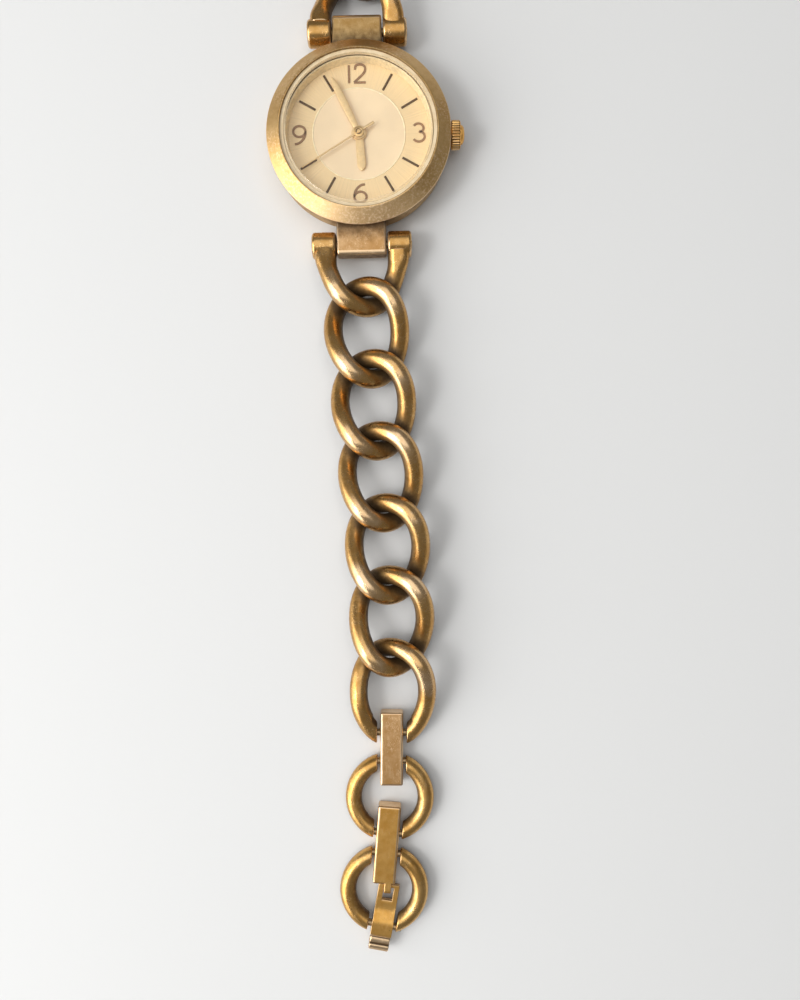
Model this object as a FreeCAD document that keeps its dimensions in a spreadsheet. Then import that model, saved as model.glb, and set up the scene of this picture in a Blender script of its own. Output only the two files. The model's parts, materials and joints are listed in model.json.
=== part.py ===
import FreeCAD, Part
import math
import os
import Sketcher
from FreeCAD import Placement, Rotation, Vector

# A ladies' wristwatch on a curb-chain bracelet, laid open on a table.
# The origin is the middle of the case back's outer face, +X is 3 o'clock, +Y is 12 o'clock, +Z is up.
# Lengths are millimetres and angles degrees.

os.makedirs("parts", exist_ok=True)
doc = FreeCAD.newDocument("chain_watch")

# ---------------------------------------------------------------------------------------------------
# Driving dimensions
# ---------------------------------------------------------------------------------------------------

SIZES = {
    # the watch head
    "case_radius": 12.6, "case_top": 4.7, "case_foot_radius": 11.4, "case_foot_top": 1.3,
    "case_bore": 10.0, "dial_seat_radius": 10.4, "dial_seat": 4.0,
    "spigot_radius": 11.8, "spigot_top": 5.15,
    "back_radius": 11.3, "back_rim": 0.45, "back_plug_radius": 9.8, "back_plug_inner": 9.1,
    "back_plug_top": 1.0, "back_bore": 10.25, "back_bore_top": 1.15,
    "back_gasket_low": 0.5, "back_gasket_top": 0.95,
    "bezel_radius": 13.0, "bezel_low": 4.75, "bezel_edge": 5.15, "bezel_top": 6.6, "bezel_lip": 10.95,
    "crystal_radius": 10.5, "crystal_low": 5.6, "crystal_top": 6.65, "crystal_bevel": 0.35,
    "flange_inner": 9.95, "flange_slope": 0.25,
    "dial_radius": 10.3, "dial_thick": 0.3, "dial_hole": 0.85,
    "baton_length": 2.65, "baton_width": 0.34, "baton_thick": 0.16, "baton_circle": 8.3,
    # the lugs
    "lug_pin_y": 15.2, "lug_pin_z": 2.6, "lug_width": 7.0, "lug_radius": 1.85, "lug_root": 11.0,
    "lug_low": 0.9, "lug_high": 4.3, "lug_bore": 0.55, "ear_bore": 0.6, "ear_radius": 1.9, "ear_width": 3.5,
    "ear_gap": 0.15,
    # the crown and its stem
    "crown_z": 3.2, "crown_radius": 1.98, "crown_start": 13.05, "crown_length": 1.3,
    "crown_cap_radius": 1.3, "crown_cap": 0.6, "crown_hollow": 1.0, "crown_hollow_depth": 0.5,
    "crown_flute": 0.12, "crown_flutes": 30,
    "stem_radius": 0.45, "stem_bore": 0.55, "stem_end": 5.4, "stem_neck": 0.25, "stem_neck_start": 6.25,
    "stem_neck_end": 6.75, "tube_radius": 1.0, "tube_end": 12.95, "seal_start": 13.15, "seal_length": 0.35,
    "channel_start": 4.9, "channel_half": 0.6, "lever_half": 1.1, "lever_thick": 0.3,
    # the movement
    "plate_radius": 8.2, "plate_low": 2.6, "plate_top": 3.35, "centre_bore": 0.5, "holder_radius": 9.85,
    "bridge_low": 1.25, "bridge_top": 1.6, "post_radius": 0.5, "battery_radius": 2.9, "battery_low": 0.55,
    "battery_top": 2.2, "battery_x": 4.0, "battery_y": 3.32,
    "coil_radius": 0.7, "coil_length": 4.2, "coil_x": 0.4, "coil_y": 5.9,
    "board_thick": 0.2, "stator_thick": 0.2, "rotor_gap": 0.15,
    "second_arbor": 0.14, "second_wheel": 2.0, "second_wheel_low": 1.75, "second_wheel_top": 1.9,
    "second_pinion": 0.29, "minute_tube": 0.4, "minute_tube_bore": 0.2, "minute_wheel": 2.53,
    "minute_wheel_low": 2.23, "minute_wheel_top": 2.35, "hour_tube": 0.7, "hour_tube_bore": 0.47,
    "hour_wheel": 2.4, "hour_wheel_low": 3.42, "hour_wheel_top": 3.62,
    "third_arbor": 0.14, "third_wheel": 2.51,
    "third_wheel_low": 1.98, "third_wheel_top": 2.12, "third_pinion": 0.28, "third_distance": 2.9,
    "rotor_radius": 0.75, "rotor_x": 0.9, "rotor_y": 3.6, "rotor_low": 2.05, "rotor_arbor": 0.14,
    # the hands
    "hour_hand_low": 4.55, "minute_hand_low": 4.8, "second_hand_low": 5.05, "hand_thick": 0.14,
    "hour_hand_reach": 5.3, "hour_hand_width": 1.35, "minute_hand_reach": 8.6, "minute_hand_width": 1.1,
    "second_hand_reach": 9.4, "second_hand_tail": 2.5, "second_hand_width": 0.28, "hand_boss": 1.1,
    "second_boss": 0.75, "minute_boss": 0.95,
    # the curb chain
    "wire_radius": 1.35, "link_half_width": 4.73, "link_half_length": 6.66, "pitch": 10.3, "twist": 1.7,
    "chain_z": 3.08, "link_roll": 0.3, "lug_link_middle": 2.4, "end_link_reach": 11.2,
    "end_loop_reach": 11.93, "end_half_width": 4.83, "end_wire_radius": 1.3,
    # the connecting bars and rings
    "pin_z": 1.3, "slot": 4.1, "bar_width": 3.3, "bar_thick": 2.56, "bar_bevel": 0.35, "pin_radius": 0.5,
    "bar_bore": 0.56, "pin_grip": 0.75, "first_bar_head": 3.1, "first_bar_span": 4.1, "first_bar_tail": 3.3,
    "second_bar_head": 4.1, "second_bar_span": 2.95, "second_bar_tail": 4.1,
    "ring_middle": 5.2, "ring_wire_radius": 1.18,
    "catch_width": 1.0, "catch_length": 1.35, "catch_low": 2.05, "catch_tip": 0.45, "catch_tip_low": 1.1,
    "catch_side": 0.6,
    # the clasp leaf with its hook, and the eye that the hook takes
    "leaf_width": 3.05, "leaf_thick": 0.9, "leaf_reach": 6.05, "window_width": 1.5, "window_length": 1.85,
    "window_rim": 0.45, "knuckle_radius": 1.0, "hook_middle": 2.35, "hook_outer": 1.3, "hook_inner": 0.72,
    "hook_z": 1.3, "eye_half_width": 4.2, "eye_half_length": 5.2, "eye_wire_radius": 0.6, "eye_twist": 1.15,
    "eye_play": 1.12, "eye_far_z": 0.7,
}

# The way that each piece of the lower half points, in degrees towards 3 o'clock from straight down.
LOWER_LINK_TURNS = (4.6, 3.8, 5.2, 2.8, 1.2)
END_LINK_TURN = -2.5
FIRST_BAR_TURN = -1.5
FIRST_RING_TURN = -4.5
SECOND_BAR_TURN = -5.8
SECOND_RING_TURN = -4.4
LEAF_TURN = -11.5
# The same for the upper half, from straight up towards 9 o'clock.
UPPER_LINK_TURNS = (1.0, 2.5, 3.5, 3.0)
EYE_TURN = 1.0

# Outlines of the movement's flat pieces, seen from above.
BRIDGE_CORNERS = [(-1.4, -1.4), (-0.2, -4.6), (3.0, -4.6), (7.0, -3.4), (7.0, 2.2), (2.6, 3.2), (0.2, 7.3),
                  (-2.2, 7.3)]
BRIDGE_POSTS = [(6.3, -2.6), (-1.2, 6.6)]
CLIP_CORNERS = [(-4.6, -6.9), (-3.2, -6.9), (-3.2, -1.0), (-4.6, -1.0)]
BOARD_CORNERS = [(-7.4, 0.6), (-2.6, 0.6), (-2.6, 2.4), (-3.4, 5.2), (-5.2, 5.2)]
STATOR_CORNERS = [(-0.4, -5.0), (5.4, -5.0), (5.4, -4.4), (3.2, -4.4), (2.9, -3.1), (1.7, -2.55),
                  (0.1, -2.55), (-0.6, -3.4)]

BATON_HOURS = (1, 2, 4, 5, 7, 8, 10, 11)
HOUR_ANGLE, MINUTE_ANGLE, SECOND_ANGLE = 176.0, 335.0, 239.0

sheet = doc.addObject("Spreadsheet::Sheet", "sizes")
for row, (name, number) in enumerate(SIZES.items(), start=1):
    sheet.set(f"A{row}", name)
    sheet.set(f"B{row}", str(number))
    sheet.setAlias(f"B{row}", name)
doc.recompute()


class Size:
    """A size: its number, and the words with which the spreadsheet works it out."""

    def __init__(self, number, words):
        self.number = number
        self.words = words

    def joined(self, other, sign, number, swap=False):
        theirs = other.words if isinstance(other, Size) else repr(float(other))
        first, last = (theirs, self.words) if swap else (self.words, theirs)
        return Size(number, f"({first} {sign} {last})")

    def __add__(self, other):
        return self.joined(other, "+", self.number + plain(other))

    def __radd__(self, other):
        return self.joined(other, "+", self.number + plain(other), swap=True)

    def __sub__(self, other):
        return self.joined(other, "-", self.number - plain(other))

    def __rsub__(self, other):
        return self.joined(other, "-", plain(other) - self.number, swap=True)

    def __mul__(self, other):
        return self.joined(other, "*", self.number * plain(other))

    def __rmul__(self, other):
        return self.joined(other, "*", self.number * plain(other), swap=True)

    def __truediv__(self, other):
        return self.joined(other, "/", self.number / plain(other))

    def __neg__(self):
        return self * -1


def plain(size):
    """The number of a size, or the number itself."""
    return size.number if isinstance(size, Size) else float(size)


def cell(name):
    """The size kept in the cell of that name."""
    return Size(float(sheet.get(name)), f"{sheet.Name}.{name}")


def bind(thing, field, size):
    """Binds a field to the spreadsheet, or sets it where it is a plain number."""
    if isinstance(size, Size):
        thing.setExpression(field, size.words)
    elif "." not in field:
        setattr(thing, field, size)


def place(thing, at, turn=Rotation()):
    """Puts a thing at a point whose three coordinates may be sizes."""
    thing.Placement = Placement(Vector(*(plain(length) for length in at)), turn)
    for axis, length in zip("xyz", at):
        bind(thing, f"Placement.Base.{axis}", length)
    return thing


# ---------------------------------------------------------------------------------------------------
# Ways of making a piece
# ---------------------------------------------------------------------------------------------------

ALONG_X = Rotation(Vector(0, 1, 0), 90)
PLANES = {"flat": "XY_Plane", "upright": "XZ_Plane", "side": "YZ_Plane"}
kept = {}


def keep(label, thing):
    """Marks a thing as a finished sub-part under its own label."""
    thing.Label = label
    kept[label] = thing
    return thing


def new_sketch(body, plane):
    """An empty sketch on one of the body's own origin planes."""
    sketch = body.newObject("Sketcher::SketchObject", body.Name + "_outline")
    support = [feature for feature in body.Origin.OriginFeatures if feature.Role == PLANES[plane]]
    sketch.AttachmentSupport = [(support[0], "")]
    sketch.MapMode = "FlatFace"
    return sketch


def tie_point(sketch, line, size_x, size_y):
    """Ties the start of a line to its two distances from the sketch's origin."""
    for kind, axis, size in (("DistanceX", -2, size_x), ("DistanceY", -1, size_y)):
        if plain(size) == 0:
            sketch.addConstraint(Sketcher.Constraint("PointOnObject", line, 1, axis))
            continue
        number = sketch.addConstraint(Sketcher.Constraint(kind, -1, 1, line, 1, plain(size)))
        if isinstance(size, Size):
            sketch.setExpression(f"Constraints[{number}]", size.words)


def draw_outline(sketch, corners):
    """A closed outline of straight lines through corners given as pairs of sizes."""
    spots = [Vector(plain(across), plain(up), 0) for across, up in corners]
    lines = [sketch.addGeometry(Part.LineSegment(start, end))
             for start, end in zip(spots, spots[1:] + spots[:1])]
    for line, after in zip(lines, lines[1:] + lines[:1]):
        sketch.addConstraint(Sketcher.Constraint("Coincident", line, 2, after, 1))
    for line, (across, up) in zip(lines, corners):
        tie_point(sketch, line, across, up)


def draw_circle(sketch, across, up, radius):
    """A circle tied to its middle and its radius."""
    middle = Vector(plain(across), plain(up), 0)
    circle = sketch.addGeometry(Part.Circle(middle, Vector(0, 0, 1), plain(radius)))
    for kind, axis, size in (("DistanceX", -2, across), ("DistanceY", -1, up)):
        if plain(size) == 0:
            sketch.addConstraint(Sketcher.Constraint("PointOnObject", circle, 3, axis))
        else:
            number = sketch.addConstraint(Sketcher.Constraint(kind, -1, 1, circle, 3, plain(size)))
            if isinstance(size, Size):
                sketch.setExpression(f"Constraints[{number}]", size.words)
    number = sketch.addConstraint(Sketcher.Constraint("Radius", circle, plain(radius)))
    if isinstance(radius, Size):
        sketch.setExpression(f"Constraints[{number}]", radius.words)


def turned(name, profile):
    """A body turned about its vertical axis from corners given as radius and height."""
    body = doc.addObject("PartDesign::Body", name)
    sketch = new_sketch(body, "upright")
    draw_outline(sketch, profile)
    turning = body.newObject("PartDesign::Revolution", name + "_turning")
    turning.Profile = sketch
    turning.ReferenceAxis = (sketch, ["V_Axis"])
    turning.Angle = 360
    return body


def ring(name, outer, inner, low, high):
    """A plain ring or, with no inner radius, a disc."""
    if inner == 0:
        return turned(name, [(0, low), (outer, low), (outer, high), (0, high)])
    return turned(name, [(inner, low), (outer, low), (outer, high), (inner, high)])


def padded(name, plane, thick, corners=(), circles=(), middle=False):
    """A body padded from an outline, or from the first circle, with the other circles as holes."""
    body = doc.addObject("PartDesign::Body", name)
    sketch = new_sketch(body, plane)
    if corners:
        draw_outline(sketch, corners)
    for across, up, radius in circles:
        draw_circle(sketch, across, up, radius)
    pad = body.newObject("PartDesign::Pad", name + "_pad")
    pad.Profile = sketch
    bind(pad, "Length", thick)
    if middle:
        pad.SideType = "Symmetric"
    return body


def box(name, low, high):
    """A box between two corners, whose coordinates may be sizes."""
    solid = doc.addObject("Part::Box", name)
    for field, start, end in zip(("Length", "Width", "Height"), low, high):
        bind(solid, field, end - start)
    return place(solid, low)


def rod(name, radius, length, start, turn=Rotation()):
    """A round rod from a point along +Z, or along the axis that the turn gives."""
    solid = doc.addObject("Part::Cylinder", name)
    bind(solid, "Radius", radius)
    bind(solid, "Height", length)
    return place(solid, start, turn)


def fused(name, *solids):
    whole = doc.addObject("Part::MultiFuse", name)
    whole.Shapes = list(solids)
    whole.Refine = True
    return whole


def cut(name, base, *tools):
    """The base with the tools cut away."""
    left = doc.addObject("Part::Cut", name)
    left.Base = base
    left.Tool = tools[0] if len(tools) == 1 else fused(name + "_tools", *tools)
    return left


# ---------------------------------------------------------------------------------------------------
# The case
# ---------------------------------------------------------------------------------------------------

def make_case_middle():
    """The case ring with a broad middle lug on each side and the crown's tube."""
    outer = cell("case_radius")
    ring_body = turned("case_ring", [
        (cell("back_bore"), cell("back_rim")), (cell("case_foot_radius"), cell("back_rim")),
        (outer, cell("case_foot_top")), (outer, cell("case_top")),
        (cell("spigot_radius"), cell("case_top")), (cell("spigot_radius"), cell("spigot_top")),
        (cell("dial_seat_radius"), cell("spigot_top")), (cell("dial_seat_radius"), cell("dial_seat")),
        (cell("case_bore"), cell("dial_seat")), (cell("case_bore"), cell("back_bore_top")),
        (cell("back_bore"), cell("back_bore_top")),
    ])
    half, reach, root = cell("lug_width") / 2, cell("lug_pin_y"), cell("lug_root")
    solids, bores = [ring_body], []
    for name, side, lowest in (("upper", 1, root), ("lower", -1, -reach)):
        start = (-half, reach * side, cell("lug_pin_z"))
        solids.append(box(name + "_lug", (-half, lowest, cell("lug_low")),
                          (half, lowest + (reach - root), cell("lug_high"))))
        solids.append(rod(name + "_lug_end", cell("lug_radius"), half * 2, start, ALONG_X))
        bores.append(rod(name + "_lug_hole", cell("lug_bore"), half * 2, start, ALONG_X))
    tube_start = (cell("case_bore") + 1, 0, cell("crown_z"))
    tube_length = cell("tube_end") - tube_start[0]
    solids.append(rod("crown_tube", cell("tube_radius"), tube_length, tube_start, ALONG_X))
    bore_start = (cell("case_bore") - 1, 0, cell("crown_z"))
    bore_length = cell("tube_end") - bore_start[0] + 1
    bores.append(rod("stem_hole", cell("stem_bore"), bore_length, bore_start, ALONG_X))
    keep("case_middle", cut("case_with_bores", fused("case_with_lugs", *solids), *bores))


def make_case_back():
    """A snap-on back: a round plate with a raised plug ring, and the gasket round that plug."""
    plug, rim, inner = cell("back_plug_radius"), cell("back_rim"), cell("back_plug_inner")
    top = cell("back_plug_top")
    keep("case_back", turned("back_plate", [
        (0, 0), (cell("case_foot_radius") - 0.3, 0), (cell("back_radius"), 0.2), (cell("back_radius"), rim),
        (plug, rim), (plug, top), (inner, top), (inner, rim), (0, rim),
    ]))
    keep("back_gasket", ring("back_seal", cell("back_bore"), plug, cell("back_gasket_low"),
                             cell("back_gasket_top")))


def make_bezel():
    """The sloping bezel, pressed over the spigot, with an inner lip round the crystal."""
    lip, spigot = cell("bezel_lip"), cell("spigot_radius")
    keep("bezel", turned("bezel_ring", [
        (spigot, cell("bezel_low") - 0.05), (cell("bezel_radius") - 0.25, cell("bezel_low") - 0.05),
        (cell("bezel_radius"), cell("bezel_low") + 0.15), (cell("bezel_radius"), cell("bezel_edge")),
        (lip + 0.25, cell("bezel_top")), (lip, cell("bezel_top")), (lip, cell("spigot_top")),
        (spigot, cell("spigot_top")),
    ]))


def make_glazing():
    """The crystal with a bevelled rim, the clear gasket round it, and the flange that it sits on."""
    radius, bevel = cell("crystal_radius"), cell("crystal_bevel")
    keep("crystal", turned("glass_disc", [
        (0, cell("crystal_low")), (radius, cell("crystal_low")), (radius, cell("crystal_top") - bevel),
        (radius - bevel, cell("crystal_top")), (0, cell("crystal_top")),
    ]))
    keep("crystal_gasket", ring("glass_seal", cell("bezel_lip"), radius, cell("crystal_low"),
                                cell("bezel_top") - 0.3))
    dial_top = cell("dial_seat") + cell("dial_thick")
    keep("flange_ring", turned("flange", [
        (cell("flange_inner"), dial_top), (cell("dial_seat_radius"), dial_top),
        (cell("dial_seat_radius"), cell("crystal_low")),
        (cell("flange_inner") + cell("flange_slope"), cell("crystal_low")),
    ]))


def make_dial():
    """The dial and its eight raised batons. The places of 12, 3, 6 and 9 are left for numerals."""
    seat = cell("dial_seat")
    top = seat + cell("dial_thick")
    keep("dial", ring("dial_disc", cell("dial_radius"), cell("dial_hole"), seat, top))
    length, width, thick = cell("baton_length"), cell("baton_width"), cell("baton_thick")
    bars = []
    for hour in BATON_HOURS:
        bar = padded(f"baton_{hour}", "flat", thick, [
            (-width / 2, cell("baton_circle") - length / 2), (width / 2, cell("baton_circle") - length / 2),
            (width / 2, cell("baton_circle") + length / 2), (-width / 2, cell("baton_circle") + length / 2),
        ])
        bars.append(place(bar, (0, 0, top), Rotation(Vector(0, 0, 1), -30.0 * hour)))
    group = doc.addObject("Part::Compound", "baton_group")
    group.Links = bars
    keep("hour_batons", group)


# ---------------------------------------------------------------------------------------------------
# The hands, each with the wheel and arbor that turn it
# ---------------------------------------------------------------------------------------------------

def hand_plate(name, boss, bore, low, angle, corners):
    """A flat hand with a round boss, turned clockwise from 12 o'clock by the angle."""
    blade = padded(name + "_blade", "flat", cell("hand_thick"), corners)
    disc = padded(name + "_boss", "flat", cell("hand_thick"), circles=[(0, 0, boss)])
    turn = Rotation(Vector(0, 0, 1), -angle)
    place(blade, (0, 0, low), turn)
    place(disc, (0, 0, low), turn)
    whole = fused(name + "_whole", blade, disc)
    if bore is None:
        return whole
    hole = rod(name + "_hole", bore, cell("hand_thick") * 3, (0, 0, low - cell("hand_thick")))
    return cut(name + "_bored", whole, hole)


def tapered_hand(reach, width):
    """The outline of a baton hand: slim at the boss, full in the middle, pointed at the end."""
    return [(-width * 0.28, 0), (width * 0.28, 0), (width / 2, reach * 0.42), (width * 0.42, reach * 0.86),
            (0, reach), (-width * 0.42, reach * 0.86), (-width / 2, reach * 0.42)]


def make_hands():
    width, reach = cell("second_hand_width") / 2, cell("second_hand_reach")
    tail = cell("second_hand_tail")
    low = cell("hour_hand_low")
    blade = tapered_hand(cell("hour_hand_reach"), cell("hour_hand_width"))
    keep("hour_hand", hand_plate("hour", cell("hand_boss"), cell("hour_tube_bore"), low, HOUR_ANGLE,
                                 blade))
    low = cell("minute_hand_low")
    blade = tapered_hand(cell("minute_hand_reach"), cell("minute_hand_width"))
    keep("minute_hand", hand_plate("minute", cell("minute_boss"), cell("minute_tube_bore"), low,
                                   MINUTE_ANGLE, blade))
    low = cell("second_hand_low")
    keep("second_hand", hand_plate("second", cell("second_boss"), None, low, SECOND_ANGLE, [
        (-width * 2.2, -tail), (width * 2.2, -tail), (width, 0), (width * 0.5, reach),
        (-width * 0.5, reach), (-width, 0)]))


def make_wheels():
    """The wheels under the dial. Their rims stand for the tips of the teeth, just clear of each other."""
    keep("hour_wheel", turned("hour_wheel_body", [
        (cell("hour_tube_bore"), cell("hour_wheel_low")), (cell("hour_wheel"), cell("hour_wheel_low")),
        (cell("hour_wheel"), cell("hour_wheel_top")), (cell("hour_tube"), cell("hour_wheel_top")),
        (cell("hour_tube"), cell("hour_hand_low")), (cell("hour_tube_bore"), cell("hour_hand_low")),
    ]))
    bore, wheel, tube = cell("minute_tube_bore"), cell("minute_wheel"), cell("minute_tube")
    keep("minute_wheel", turned("minute_wheel_body", [
        (bore, cell("minute_wheel_low")), (wheel, cell("minute_wheel_low")),
        (wheel, cell("minute_wheel_top")), (tube, cell("minute_wheel_top")),
        (tube, cell("minute_hand_low")), (bore, cell("minute_hand_low")),
    ]))
    low, arbor, pinion = cell("bridge_top"), cell("second_arbor"), cell("second_pinion")
    wheel = cell("second_wheel")
    keep("second_wheel", turned("second_wheel_body", [
        (0, low), (arbor, low), (arbor, cell("second_wheel_low")), (wheel, cell("second_wheel_low")),
        (wheel, cell("second_wheel_top")), (pinion, cell("second_wheel_top")),
        (pinion, cell("third_wheel_top")), (arbor, cell("third_wheel_top")),
        (arbor, cell("second_hand_low")), (0, cell("second_hand_low")),
    ]))
    arbor, pinion = cell("third_arbor"), cell("third_pinion")
    wheel = cell("third_wheel")
    third = turned("third_wheel_body", [
        (0, low), (arbor, low), (arbor, cell("third_wheel_low")), (wheel, cell("third_wheel_low")),
        (wheel, cell("third_wheel_top")), (pinion, cell("third_wheel_top")),
        (pinion, cell("minute_wheel_top")), (arbor, cell("minute_wheel_top")), (arbor, cell("plate_low")),
        (0, cell("plate_low")),
    ])
    keep("third_wheel", place(third, (cell("third_distance"), 0, 0)))


# ---------------------------------------------------------------------------------------------------
# The rest of the movement
# ---------------------------------------------------------------------------------------------------

def make_movement():
    """The quartz movement in its plastic holder, below the dial."""
    radius, low, top = cell("plate_radius"), cell("plate_low"), cell("plate_top")
    disc = ring("plate_disc", radius, cell("centre_bore"), low, top)
    channel = box("stem_channel", (cell("channel_start"), -cell("channel_half"), low),
                  (radius + 1, cell("channel_half"), top + 1))
    keep("main_plate", cut("plate_channelled", disc, channel))
    holder = ring("holder_ring", cell("holder_radius"), radius, cell("back_plug_top"), cell("dial_seat"))
    hole = rod("holder_hole", cell("stem_bore"), 4.0, (radius - 1, 0, cell("crown_z")), ALONG_X)
    keep("movement_holder", cut("holder_bored", holder, hole))

    deck = padded("bridge_deck", "flat", cell("bridge_top") - cell("bridge_low"), BRIDGE_CORNERS)
    solids = [place(deck, (0, 0, cell("bridge_low")))]
    for number, (post_x, post_y) in enumerate(BRIDGE_POSTS, start=1):
        start = (post_x, post_y, cell("bridge_low"))
        solids.append(rod(f"bridge_post_{number}", cell("post_radius"), low - cell("bridge_low"), start))
    keep("train_bridge", fused("bridge_whole", *solids))

    start = (-cell("battery_x"), -cell("battery_y"), cell("battery_low"))
    keep("battery", rod("battery_cell", cell("battery_radius"), cell("battery_top") - cell("battery_low"),
                        start))
    strap = padded("clip_strap", "flat", cell("battery_low") - cell("back_rim"), CLIP_CORNERS)
    keep("battery_clip", place(strap, (0, 0, cell("back_rim"))))
    board = padded("board_plate", "flat", cell("board_thick"), BOARD_CORNERS)
    keep("circuit_board", place(board, (0, 0, low - cell("board_thick"))))

    start = (cell("coil_x"), -cell("coil_y"), low - cell("coil_radius"))
    keep("motor_coil", rod("coil_winding", cell("coil_radius"), cell("coil_length"), start, ALONG_X))
    across, along = cell("rotor_x"), -cell("rotor_y")
    stator = padded("stator_plate", "flat", cell("stator_thick"), STATOR_CORNERS,
                    circles=[(across, along, cell("rotor_radius") + cell("rotor_gap"))])
    keep("motor_stator", place(stator, (0, 0, low - cell("stator_thick"))))
    arbor = cell("rotor_arbor")
    rotor = turned("rotor_magnet", [
        (0, cell("bridge_top")), (arbor, cell("bridge_top")), (arbor, cell("rotor_low")),
        (cell("rotor_radius"), cell("rotor_low")), (cell("rotor_radius"), low), (0, low)])
    keep("motor_rotor", place(rotor, (across, along, 0)))


def make_crown():
    """The fluted crown with its domed cap and its stem, turned about the 3 o'clock axis."""
    start, length = cell("crown_start"), cell("crown_length")
    radius, cap = cell("crown_radius"), cell("crown_cap_radius")
    knob = turned("crown_knob", [
        (0, cell("crown_hollow_depth")), (cell("crown_hollow"), cell("crown_hollow_depth")),
        (cell("crown_hollow"), 0), (radius - 0.15, 0), (radius, 0.15), (radius, length - 0.2),
        (radius - 0.2, length), (cap, length), (cap, length + cell("crown_cap") * 0.45),
        (cap * 0.75, length + cell("crown_cap") * 0.85), (cap * 0.35, length + cell("crown_cap")),
        (0, length + cell("crown_cap")),
    ])
    notch = new_sketch(knob, "flat")
    draw_circle(notch, radius, 0, cell("crown_flute"))
    groove = knob.newObject("PartDesign::Pocket", "crown_flute")
    groove.Profile = notch
    groove.Reversed = True
    bind(groove, "Length", length)
    doc.recompute()
    flutes = knob.newObject("PartDesign::PolarPattern", "crown_flutes")
    flutes.Originals = [groove]
    flutes.Axis = (notch, ["N_Axis"])
    flutes.Angle = 360
    bind(flutes, "Occurrences", cell("crown_flutes"))
    knob.Tip = flutes
    place(knob, (start, 0, cell("crown_z")), ALONG_X)
    stem, neck = cell("stem_radius"), cell("stem_neck")
    first, last = cell("stem_neck_start"), cell("stem_neck_end")
    shaft = turned("stem_shaft", [
        (0, cell("stem_end")), (stem, cell("stem_end")), (stem, first), (neck, first), (neck, last),
        (stem, last), (stem, start + cell("crown_hollow_depth")), (0, start + cell("crown_hollow_depth")),
    ])
    keep("crown", knob)
    keep("winding_stem", place(shaft, (0, 0, cell("crown_z")), ALONG_X))
    seal = ring("stem_seal", cell("crown_hollow"), stem, 0, cell("seal_length"))
    keep("crown_gasket", place(seal, (cell("seal_start"), 0, cell("crown_z")), ALONG_X))


def make_setting_lever():
    """A flat lever whose forked end sits in the stem's neck and travels in and out with it."""
    middle = (cell("stem_neck_start") + cell("stem_neck_end")) / 2
    half, thick, top = cell("lever_half"), cell("lever_thick"), cell("plate_top")
    blade = box("lever_blade", (middle - thick / 2, -half, top + 0.02),
                (middle + thick / 2, half, top + 0.5))
    start = (middle - thick * 1.5, 0, cell("crown_z"))
    notch = rod("lever_notch", cell("stem_neck") + 0.06, thick * 3, start, ALONG_X)
    keep("setting_lever", cut("lever_forked", blade, notch))


# ---------------------------------------------------------------------------------------------------
# The curb chain
# ---------------------------------------------------------------------------------------------------

CORNERS = 12
HALF_STEP = math.pi / CORNERS


def rounded_loop(corners, closed=True):
    """A wire through the corners' edges with each corner rounded by the largest tangent arc."""
    count = len(corners)
    edges, previous = [], None
    numbers = range(count) if closed else range(1, count - 1)
    for number in numbers:
        corner = corners[number]
        before, after = corners[number - 1], corners[(number + 1) % count]
        back, on = (before - corner), (after - corner)
        reach = 0.49 * min(back.Length, on.Length)
        first, last = corner + back.normalize() * reach, corner + on.normalize() * reach
        turn = math.pi - back.getAngle(on)
        middle_line = (back + on).normalize()
        apex = corner + middle_line * (reach * math.tan(turn / 4))
        if previous is not None:
            edges.append(Part.LineSegment(previous, first).toShape())
        elif closed:
            opening = first
        else:
            edges.append(Part.LineSegment(corners[0], first).toShape())
        edges.append(Part.Arc(first, apex, last).toShape())
        previous = last
    end = opening if closed else corners[-1]
    edges.append(Part.LineSegment(previous, end).toShape())
    return Part.Wire(edges)


def swept(path, radius):
    """A round wire of that radius bent along a path of straight runs and arcs."""
    faces, discs = [], []
    for edge in path.Edges:
        first, last = edge.FirstParameter, edge.LastParameter
        start = edge.valueAt(first)
        disc = Part.Face(Part.Wire(Part.makeCircle(radius, start, edge.tangentAt(first))))
        if edge.Curve.TypeId == "Part::GeomLine":
            run = disc.extrude(edge.valueAt(last) - start)
        else:
            run = disc.revolve(edge.Curve.Center, edge.Curve.Axis, math.degrees(last - first))
        faces += [face for face in run.Faces if face.Surface.TypeId != "Part::GeomPlane"]
        discs.append(disc)
    if not path.isClosed():
        edge = path.Edges[-1]
        last = edge.LastParameter
        end = Part.makeCircle(radius, edge.valueAt(last), edge.tangentAt(last))
        faces += [discs[0], Part.Face(Part.Wire(end))]
    shell = Part.Shell(faces)
    shell.sewShape()
    solid = Part.Solid(Part.Shell(shell.Faces))
    if solid.Volume < 0:
        solid.reverse()
    return solid


def saddle(half_width, half_length, middle, level, twist, far_level=None, roll=0.0):
    """Corners round a twisted link: across, along and up as the angle goes once round.
    Its raised corners are pushed across by the roll, and its low ones the other way.
    With a far level, the half away from the watch lies flat at that level instead."""
    stretch = 1 / math.cos(HALF_STEP)
    corners = []
    for number in range(CORNERS):
        angle = (2 * number + 1) * HALF_STEP
        lift = level + twist / math.cos(2 * HALF_STEP) * math.sin(2 * angle)
        push = roll / math.cos(2 * HALF_STEP) * math.sin(2 * angle)
        if far_level is not None and math.sin(angle) > 0:
            share = min(1.0, math.sin(angle) / math.sin(math.radians(75)))
            lift, push = level + (far_level - level) * share, 0.0
        corners.append(Vector(half_width * stretch * math.cos(angle) - push,
                              middle + half_length * stretch * math.sin(angle), lift))
    return corners


def made(label, shape, placement):
    """A sub-part whose shape is worked out here from the sheet's sizes."""
    thing = doc.addObject("Part::Feature", label + "_shape")
    thing.Shape = shape
    thing.Placement = placement
    return keep(label, thing)


def size(name):
    return float(sheet.get(name))


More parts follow.
